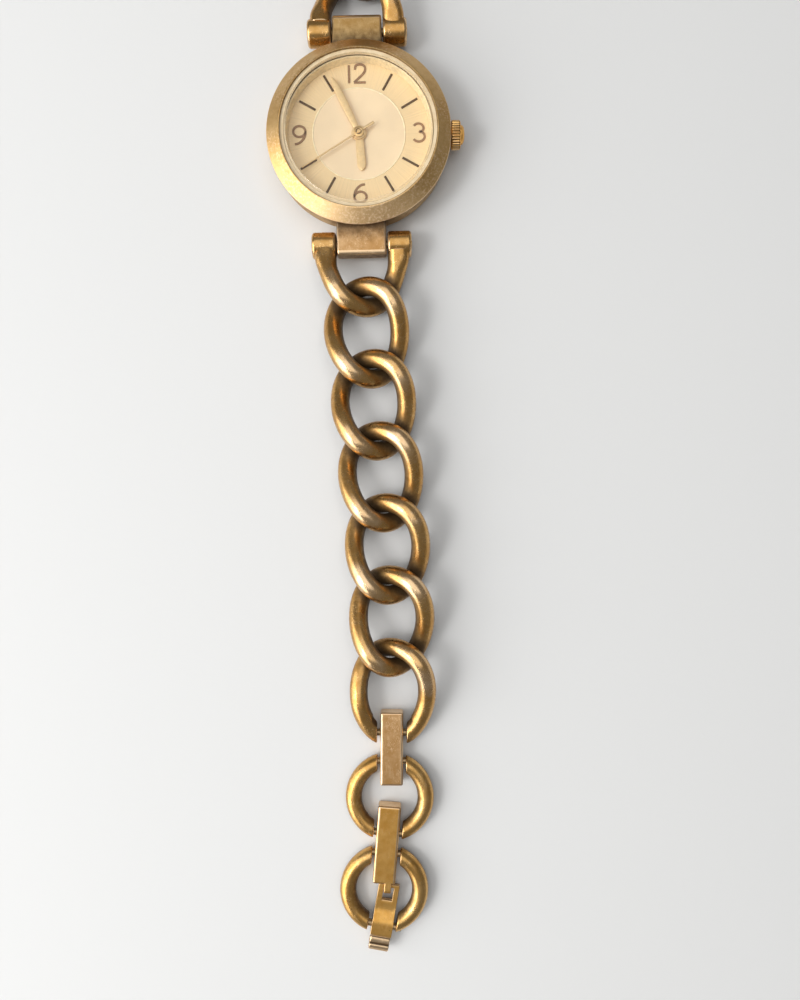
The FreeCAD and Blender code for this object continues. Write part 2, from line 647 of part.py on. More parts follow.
def curb_link_shape():
    """One twisted link, from the middle of its overlap with the link before."""
    corners = saddle(size("link_half_width"), size("link_half_length"), size("pitch") / 2, size("chain_z"),
                     size("twist"), roll=size("link_roll"))
    return swept(rounded_loop(corners), size("wire_radius"))


def lug_link_shape():
    """The half link that hangs on the lug's pin by an ear on each side."""
    loop = saddle(size("link_half_width"), size("link_half_length"), size("lug_link_middle"),
                  size("chain_z"), size("twist"))
    inner = size("lug_width") / 2 + size("ear_gap")
    ear_middle = inner + size("ear_width") / 2
    half = loop[:CORNERS // 2]
    start = Vector(ear_middle - 0.2, 0, size("lug_pin_z"))
    bend = Vector(ear_middle - 0.25, 1.6, (size("lug_pin_z") + half[0].z) / 2)
    end, last_bend = Vector(-start.x, 0, start.z), Vector(-bend.x, bend.y, (start.z + half[-1].z) / 2)
    path = rounded_loop([start, bend] + half + [last_bend, end], closed=False)
    whole = swept(path, size("wire_radius"))
    for side in (1, -1):
        begin = inner if side > 0 else -inner - size("ear_width")
        ear = Part.makeCylinder(size("ear_radius"), size("ear_width"), Vector(begin, 0, size("lug_pin_z")),
                                Vector(1, 0, 0))
        whole = whole.fuse(ear)
    reach = inner + size("ear_width") + 1
    bore = Part.makeCylinder(size("ear_bore"), 2 * reach, Vector(-reach, 0, size("lug_pin_z")),
                             Vector(1, 0, 0))
    return whole.cut(bore)


def end_link_shape():
    """The last link: twisted where it joins the chain, flat and split where the first bar goes in."""
    near = size("link_half_length") - size("pitch") / 2
    reach = size("end_loop_reach")
    corners = saddle(size("end_half_width"), (reach + near) / 2, (reach - near) / 2, size("chain_z"),
                     size("twist"), far_level=size("pin_z"), roll=size("link_roll"))
    whole = swept(rounded_loop(corners), size("end_wire_radius"))
    slot, pin = slot_and_pin(size("end_link_reach"), FIRST_BAR_TURN - END_LINK_TURN)
    return whole.cut(slot).cut(pin)


def slot_and_pin(reach, turn=0.0):
    """The gap for a bar across a wire at that reach, and the bore for the pin that crosses it."""
    wide, tall = size("slot"), 6 * size("wire_radius")
    slot = Part.makeBox(wide, tall / 1.5, tall, Vector(-wide / 2, -tall / 3, -tall / 2))
    long = wide + 2 * size("pin_grip")
    pin = Part.makeCylinder(size("pin_radius"), long, Vector(-long / 2, 0, 0), Vector(1, 0, 0))
    spot = Placement(Vector(0, reach, size("pin_z")), Rotation(Vector(0, 0, 1), turn))
    slot.Placement = spot
    pin.Placement = spot
    return slot, pin


def split_ring_shape(near_turn, far_turn):
    """Two half rings, parted where a bar enters at the near side and at the far side."""
    middle = size("ring_middle")
    whole = Part.makeTorus(middle, size("ring_wire_radius"), Vector(0, middle, size("pin_z")))
    for reach, turn in ((0, near_turn), (2 * middle, far_turn)):
        for tool in slot_and_pin(reach, turn):
            whole = whole.cut(tool)
    return whole


def eye_shape():
    """The slim closing ring at the end of the upper half, which the hook takes."""
    near, half = size("eye_play"), size("eye_half_length")
    corners = saddle(size("eye_half_width"), half, half - near, size("chain_z"), size("eye_twist"),
                     far_level=size("eye_far_z"))
    return swept(rounded_loop(corners), size("eye_wire_radius"))


def bar_body(name, head, span, tail):
    """A bevelled bar, drawn from the side with its two pin bores and padded across."""
    top, bevel = cell("bar_thick") / 2, cell("bar_bevel")
    body = padded(name, "side", cell("bar_width"), [
        (-head, bevel - top), (bevel - head, -top), (span + tail - bevel, -top), (span + tail, bevel - top),
        (span + tail, top - bevel), (span + tail - bevel, top), (bevel - head, top), (-head, top - bevel)],
        circles=[(0, 0, cell("bar_bore")), (span, 0, cell("bar_bore"))], middle=True)
    doc.recompute()
    pad, edges = body.Tip, []
    for number, edge in enumerate(pad.Shape.Edges, start=1):
        middle = edge.BoundBox.Center
        straight = edge.Curve.TypeId == "Part::GeomLine"
        if straight and abs(abs(middle.x) - plain(cell("bar_width")) / 2) < 1e-6 \
                and abs(abs(middle.z) - plain(top)) < 1e-6:
            edges.append(f"Edge{number}")
    sides = body.newObject("PartDesign::Chamfer", name + "_bevel")
    sides.Base = (pad, edges)
    bind(sides, "Size", bevel * 0.8)
    body.Tip = sides
    return body


def facing(spot, turn):
    """The place of a piece that starts at a spot and points that way."""
    return Placement(spot, Rotation(Vector(0, 0, 1), turn))


def make_chain_half(name, side, turns):
    """The pin, the half link on it and the links after it. Returns where the next piece starts."""
    base = 0.0 if side > 0 else 180.0
    pin_spot = Vector(0, side * size("lug_pin_y"), 0)
    half = size("lug_width") / 2 + size("ear_gap") + size("ear_width")
    pin_start = (-half, side * cell("lug_pin_y"), cell("lug_pin_z"))
    pin = rod(name + "_pin_rod", cell("lug_bore"),
              (cell("lug_width") / 2 + cell("ear_gap") + cell("ear_width")) * 2, pin_start, ALONG_X)
    keep(name + "_lug_pin", pin)
    made(name + "_lug_link", lug_link_shape(), facing(pin_spot, base))
    reach = size("lug_link_middle") + size("pitch") / 2
    spot = pin_spot + Vector(0, side * reach, 0)
    link_shape = curb_link_shape()
    for number, turn in enumerate(turns, start=1):
        link = facing(spot, base + turn)
        made(f"{name}_curb_link_{number}", link_shape, link)
        spot = link.multVec(Vector(0, size("pitch"), 0))
    return spot


def cross_pin(label, placement):
    """A pin pressed into the two sides of a slot."""
    long = cell("slot") + cell("pin_grip") * 2
    pin = rod(label + "_rod", cell("pin_radius"), long, (0, 0, 0), ALONG_X)
    start = placement.multVec(Vector(0, 0, size("pin_z")))
    along = placement.Rotation.multVec(Vector(1, 0, 0))
    pin.Placement = Placement(start - along * (plain(long) / 2), placement.Rotation.multiply(ALONG_X))
    keep(label, pin)


def make_lower_half():
    """The 6 o'clock half: curb links, the split end link, two bars, two split rings and the clasp leaf."""
    spot = make_chain_half("lower", -1, LOWER_LINK_TURNS)
    end = facing(spot, 180 + END_LINK_TURN)
    made("end_link", end_link_shape(), end)
    spot = end.multVec(Vector(0, size("end_link_reach"), 0))
    first_bar = facing(spot, 180 + FIRST_BAR_TURN)
    cross_pin("end_link_pin", first_bar)
    bar = bar_body("first_bar_body", cell("first_bar_head"), cell("first_bar_span"), cell("first_bar_tail"))
    bar.Placement = first_bar.multiply(Placement(Vector(0, 0, size("pin_z")), Rotation()))
    keep("first_bar", bar)

    spot = first_bar.multVec(Vector(0, size("first_bar_span"), 0))
    first_ring = facing(spot, 180 + FIRST_RING_TURN)
    across = 2 * size("ring_middle")
    shape = split_ring_shape(FIRST_BAR_TURN - FIRST_RING_TURN, SECOND_BAR_TURN - FIRST_RING_TURN)
    made("first_ring", shape, first_ring)
    cross_pin("first_ring_near_pin", facing(spot, 180 + FIRST_BAR_TURN))
    spot = first_ring.multVec(Vector(0, across, 0))
    second_bar = facing(spot, 180 + SECOND_BAR_TURN)
    cross_pin("first_ring_far_pin", second_bar)
    keep("second_bar", make_catch_bar(second_bar))

    spot = second_bar.multVec(Vector(0, size("second_bar_span"), 0))
    second_ring = facing(spot, 180 + SECOND_RING_TURN)
    shape = split_ring_shape(SECOND_BAR_TURN - SECOND_RING_TURN, LEAF_TURN - SECOND_RING_TURN)
    made("second_ring", shape, second_ring)
    cross_pin("second_ring_near_pin", facing(spot, 180 + SECOND_BAR_TURN))
    spot = second_ring.multVec(Vector(0, across, 0))
    leaf = facing(spot, 180 + LEAF_TURN)
    cross_pin("second_ring_far_pin", leaf)
    make_clasp(leaf)


def make_catch_bar(placement):
    """The second bar with the narrow catch at its end, which drops into the leaf's window."""
    span, tail = cell("second_bar_span"), cell("second_bar_tail")
    bar = bar_body("second_bar_body", cell("second_bar_head"), span, tail)
    bar.Placement = Placement(Vector(0, 0, size("pin_z")), Rotation())
    end, length = span + tail, cell("catch_length")
    top = cell("pin_z") + cell("bar_thick") / 2
    left = -cell("catch_side") - cell("catch_width") / 2
    arm = box("catch_arm", (left, end - 0.5, cell("catch_low")),
              (left + cell("catch_width"), end + length, top))
    tip = box("catch_tip", (left, end + length - cell("catch_tip"), cell("catch_tip_low")),
              (left + cell("catch_width"), end + length, top))
    whole = fused("second_bar_whole", bar, arm, tip)
    whole.Placement = placement
    return whole


def make_clasp(placement):
    """The leaf that swings on the last pin, and the hook at its outer end."""
    half, thick, reach = cell("leaf_width") / 2, cell("leaf_thick"), cell("leaf_reach")
    level, knuckle = cell("pin_z"), cell("knuckle_radius")
    plate = box("leaf_plate", (-half, -reach, level - thick / 2), (half, 0, level + thick / 2))
    barrel = rod("leaf_barrel", knuckle, half * 2, (-half, 0, level), ALONG_X)
    window_half, rim = cell("window_width") / 2, cell("window_rim")
    window = box("leaf_window", (-window_half, rim - reach, level - thick),
                 (window_half, rim + cell("window_length") - reach, level + thick))
    bore = rod("leaf_bore", cell("bar_bore"), half * 2, (-half, 0, level), ALONG_X)
    leaf = cut("leaf_cut", fused("leaf_whole", plate, barrel), window, bore)
    leaf.Placement = placement
    keep("clasp_leaf", leaf)

    outer, inner = cell("hook_outer"), cell("hook_inner")
    middle, hook_z = cell("hook_middle"), cell("hook_z")
    curl = rod("hook_curl", outer, half * 2, (-half, middle, hook_z), ALONG_X)
    hollow = rod("hook_hollow", inner, half * 2, (-half, middle, hook_z), ALONG_X)
    throat = box("hook_throat", (-half, middle - outer * 2, hook_z - outer * 2),
                 (half, middle, hook_z + outer * 2))
    bend = cut("hook_bend", curl, hollow, throat)
    strap = box("hook_strap", (-half, 0.05, hook_z + inner), (half, middle, hook_z + outer))
    clear = rod("hook_seat", knuckle, half * 2, (-half, 0, level), ALONG_X)
    hook = cut("hook_whole", fused("hook_strip", bend, strap), clear)
    hook.Placement = placement
    keep("clasp_hook", hook)


def make_upper_half():
    """The 12 o'clock half: curb links and the closing eye."""
    spot = make_chain_half("upper", 1, UPPER_LINK_TURNS)
    turn = UPPER_LINK_TURNS[-1]
    overlap = size("link_half_length") - size("pitch") / 2
    spot = facing(spot, turn).multVec(Vector(0, overlap - size("eye_play"), 0))
    made("closing_eye", eye_shape(), facing(spot, EYE_TURN))


make_case_middle()
make_case_back()
make_bezel()
make_glazing()
make_dial()
make_hands()
make_wheels()
make_movement()
make_crown()
make_setting_lever()
make_lower_half()
make_upper_half()
doc.recompute()

# ---------------------------------------------------------------------------------------------------
# Checks and export
# ---------------------------------------------------------------------------------------------------

for thing in doc.Objects:
    if {"Invalid", "Error"} & set(thing.State):
        raise RuntimeError(f"{thing.Label} failed: {thing.State}")
for label, thing in kept.items():
    if thing.Shape.isNull() or not thing.Shape.isValid() or not thing.Shape.Solids:
        raise RuntimeError(f"{label} has no valid solid")
for label, thing in kept.items():
    thing.Shape.exportStep(f"parts/{label}.step")
print(len(kept), "sub-parts written")
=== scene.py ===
import json
import math

import bmesh
import bpy
import numpy as np
from bpy.props import FloatProperty, FloatVectorProperty, IntProperty, PointerProperty
from bpy.types import Operator, Panel, PropertyGroup
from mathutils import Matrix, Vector


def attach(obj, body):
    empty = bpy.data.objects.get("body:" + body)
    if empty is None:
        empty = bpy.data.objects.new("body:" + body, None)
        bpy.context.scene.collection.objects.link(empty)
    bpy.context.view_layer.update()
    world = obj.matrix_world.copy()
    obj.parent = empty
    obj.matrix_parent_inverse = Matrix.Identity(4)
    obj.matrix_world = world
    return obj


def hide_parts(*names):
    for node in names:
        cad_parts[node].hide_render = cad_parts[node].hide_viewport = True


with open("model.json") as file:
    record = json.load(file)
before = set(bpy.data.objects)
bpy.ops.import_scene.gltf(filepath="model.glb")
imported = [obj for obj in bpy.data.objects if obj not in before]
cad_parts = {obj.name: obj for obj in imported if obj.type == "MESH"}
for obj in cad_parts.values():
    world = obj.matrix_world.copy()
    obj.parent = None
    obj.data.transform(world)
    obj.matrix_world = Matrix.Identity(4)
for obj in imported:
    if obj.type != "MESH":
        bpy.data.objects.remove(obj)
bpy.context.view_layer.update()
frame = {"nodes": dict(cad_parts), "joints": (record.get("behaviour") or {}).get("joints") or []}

bl_info = {
    "name": "Chain bracelet watch",
    "version": (1, 0, 0),
    "blender": (4, 5, 0),
    "location": "3D View > Sidebar > Chain watch",
    "description": "Dresses a small wristwatch on a curb-chain bracelet",
    "category": "Add Mesh",
}

MM = 0.001
LOWER_LINKS, UPPER_LINKS = 5, 4
BATON_HOURS = (1, 2, 4, 5, 7, 8, 10, 11)

# Heights above the table, in millimetres
DIAL_TOP, FLOOR_LEVEL = 4.3, -0.02
CROWN_LEVEL, LUG_PIN_LEVEL, LUG_LEG_LEVEL = 3.2, 2.6, 3.02
HOUR_HAND_LEVEL, MINUTE_HAND_LEVEL, SECOND_HAND_LEVEL = 4.56, 4.81, 5.06
# Other sizes that more than one place needs or that aren't in the sidebar, in millimetres
CROWN_START, TUBE_START = 13.05, 12.95
EAR_GAP, EAR_WIDTH, EAR_RADIUS, LEG_REACH = 0.16, 3.42, 1.88, 1.7
EYE_WIRE, END_WIRE = 0.59, 1.29
WIRE_SIDES = 44


# ---------------------------------------------------------------------------------------------------
# Sizes and colours
# ---------------------------------------------------------------------------------------------------

def length(name, millimetres, description):
    """A length that the sidebar shows, given in millimetres."""
    return FloatProperty(name=name, description=description, default=millimetres * MM, unit="LENGTH",
                         subtype="DISTANCE", precision=5)


def turn(name, degrees, description):
    """An angle that the sidebar shows, given in degrees."""
    return FloatProperty(name=name, description=description, default=math.radians(degrees), unit="ROTATION",
                         subtype="ANGLE")


def power(name, watts, description):
    """A lamp's power that the sidebar shows."""
    return FloatProperty(name=name, description=description, default=watts, unit="POWER")


def colour(name, red, green, blue, description):
    """A linear colour that the sidebar shows."""
    return FloatVectorProperty(name=name, description=description, default=(red, green, blue), size=3,
                               subtype="COLOR", min=0.0, max=1.0)


class WatchHeadSizes(PropertyGroup):
    crystal_radius: length("Crystal radius", 10.5, "Outer radius of the crystal")
    lug_width: length("Lug width", 7.0, "Width of the broad middle lug")
    crown_radius: length("Crown radius", 1.98, "Outer radius of the fluted crown")
    crown_flutes: IntProperty(name="Crown flutes", description="Flutes round the crown", default=30, min=8,
                              max=80)
    soft_edge: length("Edge softening", 0.16, "Radius of the worn edges of the case")


class DialSizes(PropertyGroup):
    disc_radius: length("Middle disc", 6.5, "Radius of the pearly middle of the dial")
    numeral_height: length("Numeral height", 2.85, "Height of the four numerals")
    numeral_stroke: length("Numeral stroke", 0.32, "Width of a numeral's stroke")
    numeral_circle: length("Numeral circle", 8.42, "Radius on which the numerals stand")
    baton_circle: length("Baton circle", 8.3, "Radius on which the batons stand")
    baton_length: length("Baton length", 2.6, "Length of a baton")
    baton_width: length("Baton width", 0.32, "Width of a baton")
    relief: length("Relief", 0.12, "Height of numerals and batons above the dial")
    hour_angle: turn("Hour hand", 176, "Clockwise from 12 o'clock")
    minute_angle: turn("Minute hand", 335, "Clockwise from 12 o'clock")
    second_angle: turn("Second hand", 239, "Clockwise from 12 o'clock")


class ChainSizes(PropertyGroup):
    wire_radius: length("Wire radius", 1.355, "Radius of the curb chain's wire")
    half_width: length("Half width", 4.73, "From a link's middle to its wire's middle, across")
    half_length: length("Half length", 6.595, "The same along the chain")
    pitch: length("Pitch", 10.3, "From one link to the next")
    twist: length("Twist", 1.7, "How far a link's wire rises and falls")
    roll: length("Roll", 0.22, "How far a link's raised corners are pushed across")
    end_reach: length("End link reach", 11.93, "How far the end link's loop reaches from its joint")
    end_half_width: length("End link half width", 4.83, "From the end link's middle to its wire's middle")
    level: length("Chain level", 3.08, "Height of the chain's middle above the table")
    pin_level: length("Pin level", 1.3, "Height of the bars' pins above the table")
    ring_middle: length("Ring radius", 5.2, "Radius of a split ring's middle line")
    ring_wire: length("Ring wire", 1.17, "Radius of a split ring's wire")
    slot_half: length("Half slot", 2.05, "Half the gap in which a bar turns")
    bar_width: length("Bar width", 3.26, "Width of the two bars")
    bar_thick: length("Bar thickness", 2.52, "Thickness of the two bars")


class WatchFinishes(PropertyGroup):
    chain_gold: colour("Chain gold", 0.62, 0.37, 0.135, "Bare satin gold of the chain")
    ring_gold: colour("Ring gold", 0.67, 0.41, 0.145, "Satin gold of the rings and the clasp")
    clasp_gold: colour("Clasp gold", 0.74, 0.425, 0.12, "Yellower gold of the clasp and the second bar")
    case_gold: colour("Case gold", 0.72, 0.475, 0.205, "Satin gold of the bezel")
    bronze: colour("Bronze", 0.60, 0.375, 0.185, "Scratched bronze of the bars and the lugs")
    # Also used as painted shade in recesses, under and between parts
    patina_and_shade: colour("Patina", 0.055, 0.031, 0.013, "Dark brown in the hollows")
    # Also used as painted highlight on raised chain wire and on the bezel's front side
    worn_and_highlight: colour("Worn", 0.87, 0.64, 0.40, "Rubbed, paler edges")
    dial: colour("Dial", 0.86, 0.635, 0.33, "Champagne of the dial")
    disc: colour("Middle disc", 0.91, 0.70, 0.43, "Pearly middle of the dial")
    numerals: colour("Numerals", 0.31, 0.175, 0.085, "Taupe of the numerals")
    batons: colour("Batons", 0.105, 0.058, 0.020, "Dark brown of the batons")
    hands: colour("Hands", 0.80, 0.57, 0.28, "Gold of the hands")
    floor: colour("Floor", 0.78, 0.78, 0.77, "Plain pale floor")


class StageSizes(PropertyGroup):
    camera_height: length("Camera height", 120.0, "Height of the camera above the table")
    camera_across: length("Camera across", 4.61, "Where the camera stands, towards 3 o'clock")
    camera_along: length("Camera along", -51.77, "Where the camera stands, towards 12 o'clock")
    camera_turn: turn("Camera turn", -1.3, "Turn of the picture about its middle")
    lens: FloatProperty(name="Lens", description="Focal length for a long side of 36 mm", default=29.52,
                        subtype="DISTANCE_CAMERA")
    window_power: power("Window light", 2.55, "Power of the soft light at the side")
    high_power: power("High light", 0.75, "Power of the small light high at the side")
    low_power: power("Low light", 0.75, "Power of the light low beside the clasp")
    ceiling_power: power("Ceiling light", 1.7, "Power of the broad light overhead")
    sky: FloatProperty(name="Sky", description="Strength of the even light all round", default=0.22)


GROUPS = {"head": WatchHeadSizes, "dial": DialSizes, "chain": ChainSizes, "finishes": WatchFinishes,
          "stage": StageSizes}


def sizes(group):
    """One of the groups in the sidebar."""
    return getattr(bpy.context.scene, "chain_watch_" + group)


# ---------------------------------------------------------------------------------------------------
# Surfaces
# ---------------------------------------------------------------------------------------------------

def unit(vectors):
    """The same directions with a length of 1."""
    return vectors / np.maximum(np.linalg.norm(vectors, axis=-1, keepdims=True), 1e-12)


def eased(share):
    """The smooth step s^2 (3 - 2 s) of a share held between 0 and 1."""
    share = np.clip(share, 0, 1)
    return share ** 2 * (3 - 2 * share)


def ramp(values, start, end):
    """0 at start, 1 at end and straight between, with start and end in millimetres."""
    return np.clip((values - start * MM) / ((end - start) * MM), 0, 1)


def near(values, place, reach):
    """1 at a place, falling to 0 within the reach, both in millimetres."""
    return ramp(np.abs(values - place * MM), reach, 0.0)


def off_axis(points):
    """Distance from the Z axis."""
    return np.linalg.norm(points[..., :2], axis=-1)


def straight(start, end, count):
    """Evenly spaced points from start to end."""
    return np.linspace(np.asarray(start, float), np.asarray(end, float), count)


def around(count):
    """Evenly spaced angles once round."""
    return np.linspace(0, 2 * np.pi, count, endpoint=False)


def heading(angle):
    """The level direction at an angle about Z: (cos a, sin a, 0)."""
    return np.stack([np.cos(angle), np.sin(angle), 0.0 * angle], -1)


def rectangle(left, low, right, high):
    """Its four corners, anticlockwise."""
    return [(left, low), (right, low), (right, high), (left, high)]


def soften(corners, radius, closed=True, steps=5):
    """Rounds the corners of a polyline. With A and B a radius before and after the corner C, its curve is
    (1 - t)^2 A + 2 t (1 - t) C + t^2 B. A guard point on each side keeps the flats flat in the shading.
    Returns the points, and a weight that is 1 on the curves and 0 on the flats."""
    corners = np.asarray(corners, float)
    back, on = np.roll(corners, 1, 0) - corners, np.roll(corners, -1, 0) - corners
    room = 0.45 * np.minimum(np.linalg.norm(back, axis=1), np.linalg.norm(on, axis=1))
    reach = np.minimum(radius, room)[:, None]
    if not closed:
        reach[[0, -1]] = 0.0
    t = np.linspace(0.0, 1.0, steps + 1)[None, :, None]
    first, last = corners + unit(back) * reach, corners + unit(on) * reach
    curve = (1 - t) ** 2 * first[:, None] + 2 * t * (1 - t) * corners[:, None] + t ** 2 * last[:, None]
    guards = [corners + unit(way) * reach * 1.12 for way in (back, on)]
    points = np.concatenate([guards[0][:, None], curve, guards[1][:, None]], 1)
    weight = np.zeros(points.shape[:2])
    weight[:, 1:-1] = np.where(reach > 0, 1.0, 0.0)
    return points.reshape(-1, 2), weight.reshape(-1)


def softened(corners, radius, closed=True):
    """The same for corners and radii given in millimetres."""
    return soften(np.array(corners) * MM, np.array(radius) * MM, closed)


def outward(outline):
    """Normals of a closed outline that runs anticlockwise: its direction turned a quarter clockwise."""
    along = unit(np.roll(outline, -1, -2) - np.roll(outline, 1, -2))
    return np.stack([along[..., 1], -along[..., 0]], -1)


def disc_outline(radius, count=WIRE_SIDES):
    """A circle: (r cos a, r sin a)."""
    return heading(around(count))[:, :2] * radius, np.zeros(count)


def squared_outline(half_across, half_up, power):
    """x = a cos t |cos t|^(p - 1), y = b sin t |sin t|^(p - 1): round at p = 1 and squarer below."""
    circle = heading(around(WIRE_SIDES))[:, :2]
    return np.array([half_across, half_up]) * np.sign(circle) * np.abs(circle) ** power


def box_outline(width, height, radius, steps=5):
    """A rectangle about the origin with rounded corners, anticlockwise."""
    return soften(rectangle(-width / 2, -height / 2, width / 2, height / 2), radius, steps=steps)


def turned(profile, weight, count=180, closed=True, flutes=0, flute_depth=0.0):
    """x = r cos a, y = r sin a, z = h for a profile of radii r and heights h. Flutes take
    depth * (0.5 + 0.5 cos(n a))^0.6 off the radius where the profile's weight is over 1."""
    angle = around(count)[:, None]
    radius, height = profile[:, 0][None], profile[:, 1][None]
    if flutes:
        dip = flute_depth * (0.5 + 0.5 * np.cos(flutes * angle)) ** 0.6
        radius = radius - dip * (weight[None] > 1)
    points = np.stack([radius * np.cos(angle), radius * np.sin(angle), height + 0 * angle], -1)
    return {"points": points, "wrap": (True, closed), "edge": np.tile(np.clip(weight, 0, 1), (count, 1))}


def frames(path, up, closed):
    """Unit directions t along a path, n = unit(t x up) across it and b = n x t."""
    if closed:
        along = unit(np.roll(path, -1, 0) - np.roll(path, 1, 0))
    else:
        along = unit(np.gradient(path, axis=0))
    across = unit(np.cross(along, np.asarray(up, float)))
    return along, across, np.cross(across, along)


def carried(path, outline, weight):
    """p(s, a) = c(s) + x(a) n(s) + y(a) b(s): an outline carried round a closed path c."""
    _, across, above = frames(path, (0, 0, 1), True)
    points = path[:, None] + outline[None, :, :1] * across[:, None] + outline[None, :, 1:] * above[:, None]
    return {"points": points, "wrap": (True, True), "edge": np.tile(weight, (len(path), 1))}


def carried_open(path, outline, weight, fillet, up=(0, 0, 1), faces=None, steps=5, sections=None):
    """p(s, a) = c(s) + (x(a) - d x'(a)) n(s) + (y(a) - d y'(a)) b(s), with (x', y') the outline's normals.
    The inset d follows a quarter circle of the fillet's radius at both ends, and each end closes on its
    middle. Given faces are the directions that the two end faces look in, where they are cut askew. Given
    sections are the outlines to pass through and where along the path they stand, from 0 to 1."""
    step = np.linalg.norm(np.diff(path, axis=0), axis=1)
    run = np.concatenate([[0.0], np.cumsum(step)])
    total = run[-1]
    quarter = np.linspace(np.pi / 2, 0, steps + 1)
    lead, drawn = fillet * (1 - np.sin(quarter)), fillet * (1 - np.cos(quarter))
    middle = np.linspace(fillet * 1.15, total - fillet * 1.15, len(path))
    place = np.concatenate([[0, 0], lead, middle, total - lead[::-1], [total, total]])
    inset = np.concatenate([[0, fillet * 1.1], drawn, 0 * middle, drawn[::-1], [fillet * 1.1, 0]])
    scale = np.ones(len(place))
    scale[[0, -1]] = 0.0
    along, across, above = frames(path, up, False)
    spot, along, across, above = (np.stack([np.interp(place, run, part[:, axis]) for axis in range(3)], -1)
                                  for part in (path, along, across, above))
    outline = np.tile(outline, (len(place), 1, 1))
    if sections is not None:
        stops, outlines = np.asarray(sections[0]), np.asarray(sections[1])
        after = np.clip(np.searchsorted(stops, place / total), 1, len(stops) - 1)
        share = ((place / total - stops[after - 1]) / (stops[after] - stops[after - 1]))[:, None, None]
        outline = outlines[after - 1] + eased(share) * (outlines[after] - outlines[after - 1])
    flat = (outline - inset[:, None, None] * outward(outline)) * scale[:, None, None]
    offset = flat[..., :1] * across[:, None] + flat[..., 1:] * above[:, None]
    if faces is not None:
        slide_reach = 2.5 * np.abs(outline).max()
        for face, distance in zip(faces, (place, total - place)):
            face = np.asarray(face, float)
            lean = -(offset @ face) / (along @ face)[:, None]
            slide = lean * eased(1 - distance / slide_reach)[:, None]
            offset = offset + slide[..., None] * along[:, None]
    ends = (inset > 0) & (scale > 0)
    edge = np.maximum(weight[None], ends[:, None].astype(float))
    return {"points": spot[:, None] + offset, "wrap": (False, True), "edge": edge}


def divided(outline):
    """Puts ten points on each straight run of an outline with four softened corners."""
    corners = outline.reshape(4, -1, 2)
    start, end = corners[:, -1:], np.roll(corners, -1, 0)[:, :1]
    t = np.linspace(0, 1, 12)[None, 1:-1, None]
    return np.concatenate([corners, start + (end - start) * t], 1).reshape(-1, 2)


def framed_plate(inner, outer, low, high, fillet):
    """A plate with a window: p(u, k) = i(u) + w(k) (o(u) - i(u)), with the two outlines matched point by
    point. It goes out along the top at height high(y), down, and back along the underside at low(y), and
    each of its four edges is a quarter circle of the fillet's radius."""
    width = np.linalg.norm(outer - inner, axis=1)[:, None]
    arc = np.linspace(0, np.pi / 2, 5)
    inset, drop = fillet * (1 - np.sin(arc)), fillet * (1 - np.cos(arc))
    t, none, side = np.linspace(0, 1, 14)[1:-1], np.zeros(12), np.ones(5)
    share = np.concatenate([0 * side, t, side, side, t[::-1], 0 * side])[None]
    slide = np.concatenate([inset[::-1], fillet * (1 - 2 * t), -inset, -inset[::-1],
                            fillet * (1 - 2 * t[::-1]), inset])[None]
    fall = np.concatenate([drop[::-1], none, drop, drop[::-1], none, drop])[None]
    flat = inner[:, None] + (share + slide / width)[..., None] * (outer - inner)[:, None]
    on_top = np.arange(share.size)[None] < share.size / 2
    height = np.where(on_top, high(flat[..., 1]) - fall, low(flat[..., 1]) + fall)
    edge = np.concatenate([side, none, side, side, none, side])
    return {"points": np.concatenate([flat, height[..., None]], -1), "wrap": (True, True),
            "edge": np.tile(edge, (len(inner), 1))}


def spline(corners, closed, count=24, smooth=9):
    """A smooth line inside given corners: quadratic spans between the middles of their sides, then a
    running mean, so that its bend changes evenly too."""
    corners = np.asarray(corners, float)
    t = np.linspace(0, 1, count, endpoint=False)[None, :, None]
    first, last = ((np.roll(corners, shift, 0) + corners) / 2 for shift in (1, -1))
    spans = (1 - t) ** 2 * first[:, None] + 2 * t * (1 - t) * corners[:, None] + t ** 2 * last[:, None]
    if closed:
        line = spans.reshape(-1, corners.shape[1])
        longer = np.concatenate([line[-smooth:], line, line[:smooth]])
    else:
        head = corners[0] + (first[1] - corners[0]) * t[0]
        tail = straight(last[-2], corners[-1], count)
        line = np.concatenate([head, spans[1:-1].reshape(-1, corners.shape[1]), tail])
        fore = 2 * line[0] - line[smooth:0:-1]
        aft = 2 * line[-1] - line[-2:-smooth - 2:-1]
        longer = np.concatenate([fore, line, aft])
    kernel = np.hanning(2 * smooth + 3)[1:-1]
    kernel = kernel / kernel.sum()
    return np.stack([np.convolve(column, kernel, mode="valid") for column in longer.T], -1)


def put(thing, at):
    """Turns points about Z, x cos - y sin and x sin + y cos, and moves them to their place."""
    origin, angle = at
    c, s = math.cos(angle), math.sin(angle)
    matrix = np.array([[c, s, 0], [-s, c, 0], [0, 0, 1]])
    if isinstance(thing, dict):
        return {**thing, "points": thing["points"] @ matrix + origin}
    return thing @ matrix + origin


def upended(grid, origin):
    """Lays a shape that was turned about Z along +X instead: (x, y, z) becomes (z, x, y)."""
    return {**grid, "points": grid["points"][..., [2, 0, 1]] + np.asarray(origin, float)}


# ---------------------------------------------------------------------------------------------------
# Meshes
# ---------------------------------------------------------------------------------------------------

def grid_faces(rows, columns, wrap):
    """Corner numbers of a grid's quads, row by row."""
    row = np.arange(rows if wrap[0] else rows - 1)[:, None]
    column = np.arange(columns if wrap[1] else columns - 1)[None]
    next_row, next_column = (row + 1) % rows, (column + 1) % columns
    corners = [row * columns + column, next_row * columns + column, next_row * columns + next_column,
               row * columns + next_column]
    return np.stack(corners, -1).reshape(-1, 4)


def volume_of(points, faces):
    """Six times the signed volume inside the quads, which is negative where they face inwards."""
    a, b, c, d = (points[faces[:, corner]] for corner in range(4))
    return np.einsum("ij,ij->", a, np.cross(b, c)) + np.einsum("ij,ij->", a, np.cross(c, d))


